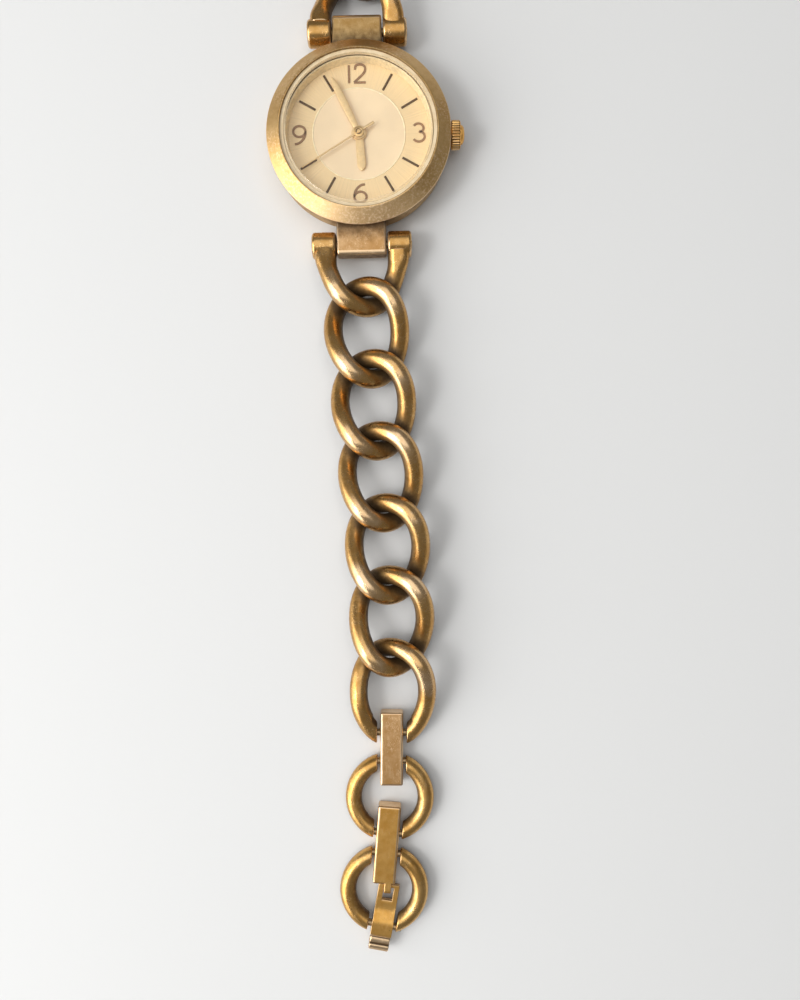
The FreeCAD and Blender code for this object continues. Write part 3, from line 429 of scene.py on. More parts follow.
def placed(name, data):
    """A new object in the scene."""
    thing = bpy.data.objects.new(name, data)
    bpy.context.scene.collection.objects.link(thing)
    return thing


def make_piece(name, grids, body, finish, stands_for=()):
    """One mesh object from one or more closed grids, with its weights, finish and body."""
    points, faces, layers, start = [], [], {"edge": [], "hollow": []}, 0
    for grid in grids:
        shape, flat = grid["points"].shape[:2], grid["points"].reshape(-1, 3)
        quads = grid_faces(*shape, grid["wrap"])
        if volume_of(flat - flat.mean(0), quads) < 0:
            quads = quads[:, ::-1]
        points.append(flat)
        faces.append(quads + start)
        for layer in layers:
            layers[layer].append(grid.get(layer, np.zeros(shape)).reshape(-1))
        start += len(flat)
    mesh = bpy.data.meshes.new(name)
    mesh.from_pydata(np.concatenate(points).tolist(), [], np.concatenate(faces).tolist())
    for layer, values in layers.items():
        attribute = mesh.attributes.new(layer, "FLOAT", "POINT")
        attribute.data.foreach_set("value", np.concatenate(values).astype(np.float32))
    shell = bmesh.new()
    shell.from_mesh(mesh)
    bmesh.ops.remove_doubles(shell, verts=shell.verts, dist=2e-7)
    shell.to_mesh(mesh)
    shell.free()
    mesh.polygons.foreach_set("use_smooth", [True] * len(mesh.polygons))
    mesh.materials.append(finish)
    piece = placed(name, mesh)
    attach(piece, body)
    if stands_for:
        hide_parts(*stands_for)


def dress(finish, *nodes):
    """Gives a finish to CAD nodes that show as they are."""
    for node in nodes:
        for holder in frame["nodes"][node].material_slots:
            holder.material = finish


# ---------------------------------------------------------------------------------------------------
# Finishes
# ---------------------------------------------------------------------------------------------------

class Value:
    """A shader socket. Sums with it add Math nodes to its finish."""

    def __init__(self, finish, socket):
        self.finish = finish
        self.socket = socket

    def maths(self, operation, first, second):
        return self.finish.node("ShaderNodeMath", {"operation": operation}, {0: first, 1: second})

    def __add__(self, other):
        return self.maths("ADD", self, other)

    __radd__ = __add__

    def __sub__(self, other):
        return self.maths("SUBTRACT", self, other)

    def __rsub__(self, other):
        return self.maths("SUBTRACT", other, self)

    def __mul__(self, other):
        return self.maths("MULTIPLY", self, other)

    __rmul__ = __mul__

    def __abs__(self):
        return self.maths("ABSOLUTE", self, 0.0)


class Finish:
    """A material made of nodes."""

    made = {}

    def __init__(self, name):
        self.material = bpy.data.materials.new(name)
        self.material.use_nodes = True
        self.tree = self.material.node_tree
        self.tree.nodes.clear()
        self.spot = self.node("ShaderNodeTexCoord", output="Object")

    def node(self, kind, settings=None, inputs=None, output=0):
        """Adds a node, its settings first and then the values or links of its sockets."""
        node = self.tree.nodes.new(kind)
        for field, setting in (settings or {}).items():
            setattr(node, field, setting)
        for socket, value in (inputs or {}).items():
            if isinstance(value, Value):
                self.tree.links.new(value.socket, node.inputs[socket])
            else:
                node.inputs[socket].default_value = value
        return Value(self, node.outputs[output])

    def attribute(self, name):
        return self.node("ShaderNodeAttribute", {"attribute_name": name}, output="Fac")

    def mapped(self, scale, turn=(0, 0, 0)):
        return self.node("ShaderNodeMapping", None, {"Vector": self.spot, "Rotation": turn, "Scale": scale})

    def noise(self, per_mm, detail=2.0, rough=0.5, spot=None):
        """Even noise with that many cells to the millimetre."""
        return self.node("ShaderNodeTexNoise", None,
                         {"Vector": spot or self.spot, "Scale": per_mm / MM, "Detail": detail,
                          "Roughness": rough}, "Fac")

    def line_noise(self, place, scale, detail):
        """Noise along one measure only."""
        return self.node("ShaderNodeTexNoise", {"noise_dimensions": "1D"},
                         {"W": place, "Scale": scale, "Detail": detail}, "Fac")

    def mask(self, value, low, high):
        """0 below low, 1 above high, smooth between."""
        return self.node("ShaderNodeMapRange", {"interpolation_type": "SMOOTHSTEP"},
                         {"Value": value, "From Min": low, "From Max": high})

    def mix(self, first, second, share):
        """A colour between two colours."""
        first, second = (value if isinstance(value, Value) else (*value, 1.0) for value in (first, second))
        return self.node("ShaderNodeMix", {"data_type": "RGBA"}, {0: share, 6: first, 7: second}, 2)

    def bump(self, height, millimetres):
        """A surface normal for a height of 0 to 1 that stands for that many millimetres."""
        return self.node("ShaderNodeBump", None, {"Height": height, "Distance": millimetres * MM,
                                                  "Strength": 1.0}, "Normal")

    def contour(self, noise, fineness):
        """Thin lines where a noise passes through its middle."""
        return 1.0 - self.mask(abs(noise - 0.5), 0.0, fineness)

    def scratches(self, turn):
        """Thin scratches mostly one way: the contour of a stretched noise, in the patches that a broader
        noise picks."""
        spot = self.mapped((1.0, 0.16, 1.0), (0.0, 0.0, turn))
        line = self.contour(self.noise(2.4, 1.0, spot=spot), 0.014)
        patch = self.noise(0.8, 1.0, spot=self.mapped((1, 1, 1), (0.4, 0.9, turn)))
        return line * self.mask(patch, 0.50, 0.60)

    def curls(self):
        """Fine curly scuff marks: the contour of an uneven noise, in patches."""
        line = self.contour(self.noise(1.9, 2.0, 0.6), 0.020)
        return line * self.mask(self.noise(0.42, 2.0), 0.46, 0.60)

    def shade(self, inputs):
        """Ends the finish with one principled shader."""
        shader = self.node("ShaderNodeBsdfPrincipled", None, inputs, "BSDF")
        end = self.tree.nodes.new("ShaderNodeOutputMaterial")
        self.tree.links.new(shader.socket, end.inputs["Surface"])
        return self.material


def finish(maker):
    """Makes each finish once, under the name that it is first given."""
    def once(name, *settings, **named):
        if name not in Finish.made:
            Finish.made[name] = maker(Finish(name), *settings, **named)
        return Finish.made[name]
    return once


def tinted(tint, *factors):
    """The tint times each factor, channel by channel and never over 1."""
    return [tuple(min(1.0, channel * factor) for channel in tint) for factor in factors]


@finish
def antiqued(f, gold, wear, scratch, rough):
    """Satin gold with brown patina and painted shade in recesses, under and between parts, paler edges and
    raised parts that are partly wear and partly a painted highlight, fine scratches and small dents.
    """
    colours = sizes("finishes")
    broad, mottled, fine = f.noise(0.22, 3.0), f.noise(1.1, 4.0, 0.6), f.noise(7.0, 2.0)
    hollow, edge = f.attribute("hollow"), f.attribute("edge")
    # Painted shade, with patina, in recesses, under and between parts: brown, less metallic and rougher
    shade_and_patina_share = f.mask(hollow + (mottled - 0.5) * 0.45, 0.16, 0.80)
    # Paler on edges and raised parts: wear there, and on the chain a painted highlight
    rubbed_and_highlit = f.mask(edge * wear + (broad - 0.5) * 0.9 + (mottled - 0.5) * 0.5, 0.28, 0.75)
    lines = f.scratches(0.5) + f.scratches(-0.8) + f.curls()
    warm = tuple(channel * factor for channel, factor in zip(gold, (0.78, 0.68, 0.50)))
    base = f.mix(gold, warm, f.mask(mottled * 0.6 + broad * 0.6, 0.42, 0.78))
    base = f.mix(base, colours.worn_and_highlight, rubbed_and_highlit * 0.75)
    base = f.mix(base, colours.worn_and_highlight, lines * scratch)
    base = f.mix(base, colours.patina_and_shade, shade_and_patina_share * 0.90)
    pits = f.mask(f.noise(3.2, 1.0), 0.70, 0.80)
    base = f.mix(base, colours.patina_and_shade, pits * 0.35)
    roughness = rough + (mottled - 0.5) * 0.16 + shade_and_patina_share * 0.20 - rubbed_and_highlit * 0.05
    height = fine * 0.35 + mottled * 0.5 - lines * 0.4 - pits * 0.4
    return f.shade({"Base Color": base, "Metallic": 1.0 - shade_and_patina_share * 0.55, "Roughness": roughness,
                    "Normal": f.bump(height, 0.009)})


@finish
def brushed_round(f, gold, pale, rough=0.38):
    """Satin metal brushed in circles about the dial's axis, with pale scuffed edges, specks and pits,
    painted shade in recesses, and a front side (-Y) painted paler, partly as more specks and partly as
    painted light.
    """
    radius = f.node("ShaderNodeVectorMath", {"operation": "LENGTH"},
                    {0: f.mapped((1.0, 1.0, 0.0))}, "Value")
    grain = f.line_noise(radius, 14 / MM, 3.0)
    broad, mottled, fine = f.noise(0.18, 2.0), f.noise(1.4, 4.0, 0.65), f.noise(9.0, 1.0)
    edge, low = f.attribute("edge"), f.attribute("hollow")
    warm = tuple(channel * factor for channel, factor in zip(gold, (0.80, 0.71, 0.56)))
    base = f.mix(gold, warm, f.mask(mottled * 0.5 + broad * 0.7, 0.45, 0.80))
    base = f.mix(base, pale, f.mask(edge * 0.7 + (mottled - 0.5), 0.25, 0.75) * 0.7)
    along = f.node("ShaderNodeSeparateXYZ", None, {0: f.spot}, "Y")
    # The front (-Y) is painted paler and more diffuse: more specks there, and painted light on that side
    front = f.mask(0.0 - along, 7 * MM, 12 * MM)
    specks = f.mask(f.noise(3.2, 4.0, 0.7), 0.48, 0.62) \
        * f.mask(f.noise(0.16, 2.0) + front * 0.25, 0.42, 0.60)
    base = f.mix(base, pale, specks * 0.55 + front * 0.30)
    pits = f.mask(f.noise(4.5, 2.0), 0.66, 0.74)
    # Painted shade in recesses, with patina
    shade_and_patina_share = f.mask(low + (mottled - 0.5) * 0.4, 0.2, 0.8)
    base = f.mix(base, sizes("finishes").patina_and_shade, pits * 0.30 + shade_and_patina_share * 0.65)
    height = grain * 0.35 + fine * 0.35 + mottled * 0.5 - pits * 0.5 + specks * 0.3
    return f.shade({"Base Color": base, "Metallic": 1.0 - front * 0.15 - specks * 0.25,
                    "Roughness": rough + (mottled - 0.5) * 0.14 + specks * 0.08 + front * 0.10,
                    "Normal": f.bump(height, 0.008)})


@finish
def painted_dial(f, tint, sheen):
    """Lacquer over fine rays that run out from the middle of the dial, with a soft pearly unevenness."""
    apart = f.node("ShaderNodeSeparateXYZ", None, {0: f.spot}, "X")
    up = Value(f, apart.socket.node.outputs["Y"])
    rays = f.line_noise(up.maths("ARCTAN2", up, apart), 46.0, 4.0)
    cloud, fine = f.noise(0.16, 2.0), f.noise(16.0, 1.0)
    paler = tuple(min(1.0, channel * 1.09 + 0.015) for channel in tint)
    uneven = rays * sheen + cloud * (1.0 - sheen) + (fine - 0.5) * 0.10
    base = f.mix(tinted(tint, 0.93)[0], paler, f.mask(uneven, 0.25, 0.75))
    return f.shade({"Base Color": base, "Metallic": 0.06, "Roughness": 0.40 + (rays - 0.5) * 0.10,
                    "Coat Weight": 0.25, "Coat Roughness": 0.15,
                    "Normal": f.bump(rays * 0.6 + fine * 0.4, 0.0015)})


@finish
def lacquer(f, tint, metallic, rough, speck=0.10, shine=0.5):
    """Enamel or lacquer with a faint unevenness."""
    mottled, fine = f.noise(2.2, 3.0), f.noise(14.0, 1.0)
    base = f.mix(*tinted(tint, 1 - speck, 1 + speck), f.mask(mottled, 0.3, 0.7))
    return f.shade({"Base Color": base, "Metallic": metallic, "Roughness": rough + (mottled - 0.5) * 0.12,
                    "Specular IOR Level": shine, "Normal": f.bump(fine * 0.5 + mottled * 0.5, 0.003)})


@finish
def drawn_metal(f, tint, rough, grain_turn=0.0):
    """Plain metal with a fine straight grain and slight stains."""
    grain = f.noise(5.0, 2.0, spot=f.mapped((1.0, 0.06, 1.0), (0.0, 0.0, grain_turn)))
    mottled = f.noise(0.7, 3.0)
    base = f.mix(*tinted(tint, 0.84, 1.08), f.mask(grain * 0.5 + mottled * 0.5, 0.35, 0.65))
    return f.shade({"Base Color": base, "Metallic": 1.0, "Roughness": rough + (mottled - 0.5) * 0.15,
                    "Normal": f.bump(grain, 0.004)})


@finish
def moulded(f, tint, rough):
    """Moulded plastic or rubber with a fine texture."""
    fine, mottled = f.noise(6.0, 2.0), f.noise(0.6, 2.0)
    base = f.mix(*tinted(tint, 0.92, 1.05), f.mask(mottled, 0.35, 0.65))
    return f.shade({"Base Color": base, "Roughness": rough + (fine - 0.5) * 0.12,
                    "Normal": f.bump(fine, 0.006)})


@finish
def printed_board(f, tint, track):
    """A circuit board with copper tracks under green lacquer."""
    tracks = f.node("ShaderNodeTexBrick", {"offset": 0.5},
                    {"Vector": f.spot, "Scale": 1.0 / MM, "Mortar Size": 0.10, "Brick Width": 0.9,
                     "Row Height": 0.42}, "Fac")
    mottled = f.noise(1.5, 2.0)
    base = f.mix(tint, track, tracks * 0.6 + (mottled - 0.5) * 0.1)
    return f.shade({"Base Color": base, "Metallic": tracks * 0.5, "Roughness": 0.34 + mottled * 0.1,
                    "Normal": f.bump(tracks, 0.02)})


@finish
def wound_wire(f, tint):
    """Fine enamelled wire wound side by side along X, each turn painted darker at its sides as shade
    between the turns.
    """
    turns = f.node("ShaderNodeTexWave", {"bands_direction": "X"},
                   {"Vector": f.spot, "Scale": 3.2 / MM, "Distortion": 0.4, "Detail": 1.0}, "Fac")
    mottled = f.noise(1.0, 2.0)
    # Painted shade between the turns
    base = f.mix(*tinted(tint, 0.45, 1.0), f.mask(turns + (mottled - 0.5) * 0.4, 0.1, 0.7))
    return f.shade({"Base Color": base, "Metallic": 0.85, "Roughness": 0.30 + mottled * 0.08,
                    "Normal": f.bump(turns, 0.04)})


@finish
def clear_crystal(f):
    """Clear coated glass. Its rim is painted pale cream and partly opaque, a painted reflection of light in
    the bevel. Its polish reflects 0.015 + 0.985 (1 - cos t)^5 at an angle t.
    """
    facing = f.node("ShaderNodeLayerWeight", None, {"Blend": 0.5}, "Facing")
    gloss = facing.maths("POWER", facing, 5.0) * 0.985 + 0.015
    edge = f.attribute("edge")
    smear = f.noise(0.25, 3.0)
    # The rim is painted pale cream: a painted reflection of light in the bevel
    base = f.mix((1.0, 1.0, 1.0), (1.0, 0.83, 0.56), edge)
    return f.shade({"Base Color": base, "Metallic": 1.0 - edge,
                    "Roughness": 0.02 + f.mask(smear, 0.5, 0.8) * 0.05,
                    "Alpha": gloss * (1.0 - edge) + edge * 0.34})


@finish
def clear_seal(f):
    """A clear plastic ring, slightly cloudy, painted cream and mostly opaque as painted light over its
    shaded groove.
    """
    cloud = f.noise(0.8, 3.0)
    base = f.mix((0.90, 0.70, 0.42), (1.0, 0.82, 0.54), f.mask(cloud, 0.35, 0.65))
    return f.shade({"Base Color": base, "Roughness": 0.20 + cloud * 0.1, "Alpha": 0.85,
                    "Normal": f.bump(cloud, 0.01)})


@finish
def plain_floor(f, tint):
    """A plain pale floor with the faintest unevenness."""
    broad = f.noise(0.01, 2.0)
    return f.shade({"Base Color": f.mix(*tinted(tint, 0.985, 1.0), broad),
                    "Roughness": 0.85 + broad * 0.05, "Normal": f.bump(f.noise(1.2, 2.0), 0.01)})


# The colour, wear and painted highlight on edges, scratches and roughness of each satin finish
SATIN = {"chain_gold": ("chain_gold", 0.62, 0.25, 0.28), "ring_gold": ("ring_gold", 0.60, 0.25, 0.29),
         "bar_bronze": ("bronze", 0.85, 0.55, 0.36), "clasp_gold": ("clasp_gold", 0.60, 0.22, 0.35)}


def satin(name):
    """One of the antiqued finishes by its name."""
    tone, *settings = SATIN[name]
    return antiqued(name, getattr(sizes("finishes"), tone), *settings)


# ---------------------------------------------------------------------------------------------------
# The bracelet's lines
# ---------------------------------------------------------------------------------------------------

def stand(joint_name, lower=True):
    """Where a bracelet piece starts and how it is turned: +X along its joint and +Y away from the watch."""
    joint = next(joint for joint in frame["joints"] if joint["name"] == joint_name)
    angle = math.atan2(joint["axis"][1], joint["axis"][0]) + (math.pi if lower else 0.0)
    return np.array([joint["pos_m"][0], joint["pos_m"][1], 0.0]), angle


def link_line(chain):
    """One curb link: x = a cos t - k sin 2t, y = m + b sin t, z = h + A sin 2t."""
    t = around(220)
    wave = np.sin(2 * t)
    return np.stack([chain.half_width * np.cos(t) - chain.roll * wave,
                     chain.pitch / 2 + chain.half_length * np.sin(t), chain.level + chain.twist * wave], -1)


def loop_corners(half_width, half_length, middle, level, twist, far_level=None, roll=0.0):
    """Twelve corners round a twisted link. With a far level, the half away from the watch lies flat."""
    half = math.pi / 12
    angle = (2 * np.arange(12) + 1) * half
    wave = np.sin(2 * angle) / math.cos(2 * half)
    lift, push = level + twist * wave, roll * wave
    if far_level is not None:
        far = np.sin(angle) > 1e-9
        push = np.where(far, 0.0, push)
        share = np.minimum(1.0, np.sin(angle) / math.sin(math.radians(75)))
        lift = np.where(far, level + (far_level - level) * share, lift)
    stretch = 1 / math.cos(half)
    return np.stack([half_width * stretch * np.cos(angle) - push,
                     middle + half_length * stretch * np.sin(angle), lift], -1)


def lug_link_line(chain):
    """The half link that hangs from the lug's pin: its two legs start inside the ears."""
    loop = loop_corners(chain.half_width, chain.half_length, 2.45 * MM, chain.level, chain.twist)[:6]
    leg, level = sizes("head").lug_width / 2 + LEG_REACH * MM, LUG_LEG_LEVEL * MM
    rises = [(2 * level + loop[end][2]) / 3 for end in (0, -1)]
    return spline([(leg, 0.75 * MM, level), (leg, 2.3 * MM, rises[0]), *loop, (-leg, 2.3 * MM, rises[1]),
                   (-leg, 0.75 * MM, level)], False)


def end_link_line(chain):
    """The split end link: twisted at the chain, flat at the bar's pin, where the wire is cut."""
    near, reach = chain.half_length - chain.pitch / 2, chain.end_reach
    corners = loop_corners(chain.end_half_width, (reach + near) / 2, (reach - near) / 2, chain.level,
                           chain.twist, chain.pin_level, chain.roll)
    line = spline(np.roll(corners, -3, 0), True)
    far = (line[:, 1] > 0.6 * reach) & (np.abs(line[:, 0]) < chain.slot_half)
    first = np.flatnonzero(~far & np.roll(far, 1))[0]
    line = np.roll(line, -first, 0)
    return line[:len(line) - far.sum()]


def eye_line():
    """The slim closing eye: twisted at the chain and low at its far end."""
    return spline(loop_corners(half_width=4.2 * MM, half_length=5.2 * MM, middle=4.08 * MM,
                               level=3.08 * MM, twist=1.15 * MM, far_level=0.7 * MM), True)


def half_lines(side, count, end, end_line):
    """The middle lines of the chain pieces of one half, each in its place, from the watch outwards."""
    chain, lower = sizes("chain"), side == "lower"
    lines = {side + "_lug_link": put(lug_link_line(chain), stand(side + "_lug_hinge", lower))}
    for number in range(1, count + 1):
        at = stand(f"{side}_link_{number}_hinge", lower)
        lines[f"{side}_curb_link_{number}"] = put(link_line(chain), at)
    lines[end] = put(end_line, stand(end + "_hinge", lower))
    return lines


def painted_shade_and_patina(grid, own, others, wire):
    """Painted shade, with patina in the crevices, at each point. With g the gap to the nearest other wire
    in millimetres, it is the largest of 1 - g / 2.3, a share for facing the loop's middle and one for
    facing down, and a little more where the wire lies low: shade painted between the wires, on the inner
    and lower sides and on the low parts. The edge weight rises where the wire stands high, for wear and a
    painted highlight."""
    points = grid["points"].reshape(-1, 3)
    nearest = np.full(len(points), 1.0)
    for line in others:
        apart = np.linalg.norm(points[:, None] - line[None, ::2], axis=2)
        nearest = np.minimum(nearest, np.sort(apart, 1)[:, :3].mean(1) - wire)
    close = ramp(nearest, 2.3, 0.0)
    spot = np.repeat(grid["points"].mean(1), grid["points"].shape[1], 0)
    offset = (points - spot) / wire
    inward = -np.einsum("ij,ij->i", offset[:, :2], unit((spot - own.mean(0))[:, :2]))
    low = ramp(spot[:, 2] - own[:, 2].mean(), 0.0, -1.7)
    # Painted shade near the other wires, on the side facing the loop's middle, underneath and where the
    # wire lies low, with patina in the crevices
    value = np.maximum.reduce([close, 0.78 * np.clip((inward - 0.45) / 0.55, 0, 1),
                               0.92 * np.clip(0.42 - offset[:, 2], 0, 1)]) + 0.30 * low
    # Paler where the wire rises high: wear on the raised parts and a painted highlight
    raised_wear_and_highlight = 0.9 * ramp(points[:, 2] - own[:, 2].mean() - wire * 0.55, 0.0, 2.2)
    grid["hollow"] = value.reshape(grid["edge"].shape)
    grid["edge"] = np.maximum(grid["edge"], raised_wear_and_highlight.reshape(grid["edge"].shape))
    return grid


# ---------------------------------------------------------------------------------------------------
# The pieces, one operator for each
# ---------------------------------------------------------------------------------------------------

class PieceOperator:
    """Runs build(), which adds or dresses the operator's pieces."""
    bl_options = {"REGISTER", "UNDO"}

    def execute(self, context):
        self.build()
        return {"FINISHED"}


class ChainWatchCase(PieceOperator, Operator):
    """Adds the case ring with its two lugs, the bezel and the back"""
    bl_idname = "chain_watch.case"
    bl_label = "Case"

    def build(self):
        colours = sizes("finishes")
        side = antiqued("case_bronze", colours.case_gold * 0.78, wear=0.5, scratch=0.25, rough=0.36)
        outline, weight = softened([
            (10.25, 0.45), (11.4, 0.45), (12.6, 1.3), (12.6, 4.62), (12.35, 4.7), (11.8, 4.7), (11.8, 5.15),
            (10.4, 5.15), (10.4, 4.0), (10.0, 4.0), (10.0, 1.15), (10.25, 1.15)],
            sizes("head").soft_edge / MM)
        ring = turned(outline, weight)
        height, out = ring["points"][..., 2], off_axis(ring["points"])
        # Painted shade in the groove under the bezel and towards the table
        ring["hollow"] = ramp(height, 4.0, 4.7) * 0.7 * (out > 11.79 * MM) + ramp(height, 1.6, 0.4) * 0.5
        make_piece("case_ring", [ring], "case", side, ["case_middle"])
        tube, weight = softened(rectangle(0.56, -0.7, 1.0, 0.0), 0.08)
        tube = upended(turned(tube, weight, 64), (TUBE_START * MM, 0, CROWN_LEVEL * MM))
        make_piece("crown_tube", [tube], "case", side, ["case_middle"])
        self.lug("upper_lug_block", 1, side)
        self.lug("lower_lug_block", -1, satin("bar_bronze"))
        bezel, weight = softened([
            (11.82, 4.7), (12.75, 4.7), (13.0, 4.9), (13.0, 5.12), (11.2, 6.58), (10.97, 6.6), (10.95, 6.5),
            (10.95, 5.17), (11.82, 5.17)], [0.05, 0.15, 0.15, 0.22, 0.16, 0.1, 0.1, 0.05, 0.05])
        gold = brushed_round("bezel_gold", colours.case_gold, colours.worn_and_highlight)
        slope = turned(bezel, weight, 240)
        out = off_axis(slope["points"])
        # Painted shadow: a dark line along the bezel's inner lip
        slope["hollow"] = ramp(out, 11.10, 10.98) * 0.9
        slope["edge"] = slope["edge"] * (out > 11.4 * MM)
        make_piece("bezel_ring", [slope], "case", gold, ["bezel"])
        back, weight = softened([
            (0, 0.03), (7.9, 0.03), (8.05, 0.12), (8.25, 0.12), (8.4, 0.0), (11.0, 0.0), (11.3, 0.2),
            (11.3, 0.45), (9.8, 0.45), (9.8, 1.0), (9.1, 1.0), (9.1, 0.45), (0, 0.45)], 0.1, closed=False)
        steel = brushed_round("back_steel", (0.56, 0.54, 0.50), (0.72, 0.70, 0.66), rough=0.28)
        make_piece("back_plate", [turned(back, weight, 200, closed=False)], "case", steel,
                   ["case_back"])
        dress(moulded("seal_rubber", (0.025, 0.025, 0.025), rough=0.55), "back_gasket")
        dress(drawn_metal("pin_steel", (0.40, 0.28, 0.15), rough=0.36), "upper_lug_pin", "lower_lug_pin",
              "end_link_pin", "first_ring_near_pin", "first_ring_far_pin", "second_ring_near_pin",
              "second_ring_far_pin")

    def lug(self, name, way, finish):
        """The lug's outline seen from the side, carried across along X with rounded ends. It is painted
        darker as shade underneath, where it meets the case and on its end face."""
        outline, weight = softened([(11.2, 0.92), (16.0, 0.92), (17.02, 2.0), (17.02, 4.0), (16.6, 4.28),
                                    (11.2, 4.28)], [0.1, 1.1, 0.6, 0.4, 0.3, 0.1])
        half = sizes("head").lug_width / 2
        grid = carried_open(straight((-half, 0, 0), (half, 0, 0), 30), outline, weight, 0.3 * MM)
        points = grid["points"]
        out = np.abs(points[..., 1])
        # Painted shade underneath, where the lug meets the case and on its end face
        grid["hollow"] = np.maximum.reduce([ramp(points[..., 2], 1.8, 0.6) * 0.6, ramp(out, 12.9, 12.1),
                                            ramp(out, 16.78, 16.98) * 0.55])
        grid["points"] = points * [1, -way, 1]
        make_piece(name, [grid], "case", finish, ["case_middle"])


class ChainWatchCrystal(PieceOperator, Operator):
    """Adds the crystal, its clear seal and the flange under it"""
    bl_idname = "chain_watch.crystal"
    bl_label = "Crystal and flange"

    def build(self):
        radius = sizes("head").crystal_radius / MM
        profile, _ = softened([(0, 5.6), (radius, 5.6), (radius, 6.3), (radius - 0.35, 6.65), (0, 6.65)],
                              0.07, closed=False)
        # The rim, which the glass finish paints pale as a painted reflection
        rim = (profile[:, 0] > (radius - 0.36) * MM) & (profile[:, 1] > 5.7 * MM)
        make_piece("crystal_disc", [turned(profile, np.where(rim, 1.0, 0.0), 240, closed=False)], "case",
                   clear_crystal("crystal_glass"), ["crystal"])
        dress(clear_seal("clear_gasket"), "crystal_gasket")
        flange, weight = softened([(9.95, 4.31), (10.4, 4.31), (10.4, 5.59), (10.2, 5.59)], 0.05)
        gold = lacquer("flange_gold", (0.88, 0.73, 0.46), metallic=0.25, rough=0.30)
        make_piece("flange", [turned(flange, weight, 240)], "case", gold, ["flange_ring"])


def numeral_lines():
    """The middle lines of the numerals' strokes, each drawn about its own middle at a height of 2."""
    def arc(x, y, radius, start, end):
        return np.array([x, y]) + radius * heading(np.radians(np.linspace(start, end, 60)))[:, :2]

    def run(*corners):
        return spline(corners, False, smooth=4)

    bowl = arc(0.0, -0.40, 0.60, 0, 360)[:-1]
    tail = run((0.46, 1.0), (0.14, 0.97), (-0.22, 0.70), (-0.50, 0.28), (-0.60, -0.14), (-0.60, -0.42))
    return {
        "12": [run((-0.84, 1.0), (-0.84, 0.0), (-0.84, -1.0)),
               run((-0.24, 0.50), (-0.20, 0.96), (0.22, 1.12), (0.74, 0.94), (0.78, 0.42), (0.58, 0.0),
                   (-0.05, -0.62), (-0.34, -0.93)),
               run((-0.36, -0.94), (0.2, -0.94), (0.80, -0.94))],
        "3": [np.concatenate([arc(-0.02, 0.50, 0.50, 150, -78), arc(0.0, -0.44, 0.58, 78, -150)])],
        "6": [bowl, tail],
        "9": [-bowl, -tail],
    }


class ChainWatchDial(PieceOperator, Operator):
    """Adds the dial's pearly middle, its numerals and its batons"""
    bl_idname = "chain_watch.dial"
    bl_label = "Dial"

    def build(self):
        dial, colours = sizes("dial"), sizes("finishes")
        dress(painted_dial("dial_champagne", colours.dial, sheen=0.55), "dial")
        radius, low, high = dial.disc_radius / MM, DIAL_TOP - 0.05, DIAL_TOP + 0.02
        disc, weight = softened([(0.86, low), (radius - 0.02, low), (radius, high), (0.86, high)], 0.01)
        make_piece("dial_middle", [turned(disc, weight, 240)], "case",
                   painted_dial("dial_pearl", colours.disc, sheen=0.25))
        rim, weight = box_outline(0.17 * MM, 0.11 * MM, 0.05 * MM, 4)
        gold = lacquer("dial_circle_gold", (1.0, 0.80, 0.52), metallic=0.0, rough=0.30, shine=0.3)
        make_piece("dial_circle", [turned(rim + [dial.disc_radius, high * MM], weight, 240)], "case",
                   gold)
        self.numerals(dial)
        outline, weight = soften(np.array([(-0.5, 0.0), (0.5, 0.0), (0.5, 0.55), (0.28, 1.0), (-0.28, 1.0),
                                           (-0.5, 0.55)]) * [dial.baton_width, dial.relief + 0.03 * MM],
                                 0.03 * MM, steps=3)
        start, end = ((0, dial.baton_circle + side * dial.baton_length / 2, (DIAL_TOP - 0.01) * MM)
                      for side in (-1, 1))
        baton = carried_open(straight(start, end, 8), outline, weight, 0.05 * MM)
        grids = [put(baton, (np.zeros(3), -math.radians(30 * hour))) for hour in BATON_HOURS]
        brown = lacquer("baton_brown", colours.batons, metallic=0.0, rough=0.45, shine=0.12)
        make_piece("batons", grids, "case", brown, ["hour_batons"])

    def numerals(self, dial):
        """Strokes of a rounded box section along each numeral's lines."""
        outline, weight = box_outline(dial.numeral_stroke, dial.relief, 0.05 * MM, 3)
        scale = np.array([1.13, 1.0]) * (dial.numeral_height - dial.numeral_stroke) / 2
        spots = {"12": (-0.04 * MM, dial.numeral_circle), "3": (dial.numeral_circle, 0.0),
                 "6": (0.0, -dial.numeral_circle), "9": (-dial.numeral_circle, 0.0)}
        taupe = lacquer("numeral_taupe", sizes("finishes").numerals, metallic=0.0, rough=0.45, shine=0.15)
        for name, lines in numeral_lines().items():
            grids = []
            for line in lines:
                level = np.full((len(line), 1), dial.relief / 2 + (DIAL_TOP - 0.01) * MM)
                path = np.concatenate([line * scale + spots[name], level], 1)
                if np.linalg.norm(path[0] - path[-1]) < dial.numeral_stroke:
                    grids.append(carried(path, outline, weight))
                else:
                    grids.append(carried_open(path, outline, weight, 0.04 * MM, steps=3))
            make_piece("numeral_" + name, grids, "case", taupe)


def hand_grid(stations, widths, low, thick):
    """A hand seen from above: at each station along Y the section is a shallow roof, from its lower edges
    at half width w up to a ridge. Its ends close on the middle."""
    across = np.array([-1.0, -1.0, -0.86, 0.0, 0.86, 1.0, 1.0, 0.0])
    height = np.array([0.0, 0.50, 0.74, 1.0, 0.74, 0.50, 0.0, 0.0])
    stations = np.concatenate([stations[:1], stations, stations[-1:]])
    widths = np.concatenate([[0.0], widths, [0.0]])[:, None]
    points = np.stack([widths * across, stations[:, None] + 0 * across,
                       low + thick * height * (widths > 0)], -1)
    return {"points": points, "wrap": (False, True)}


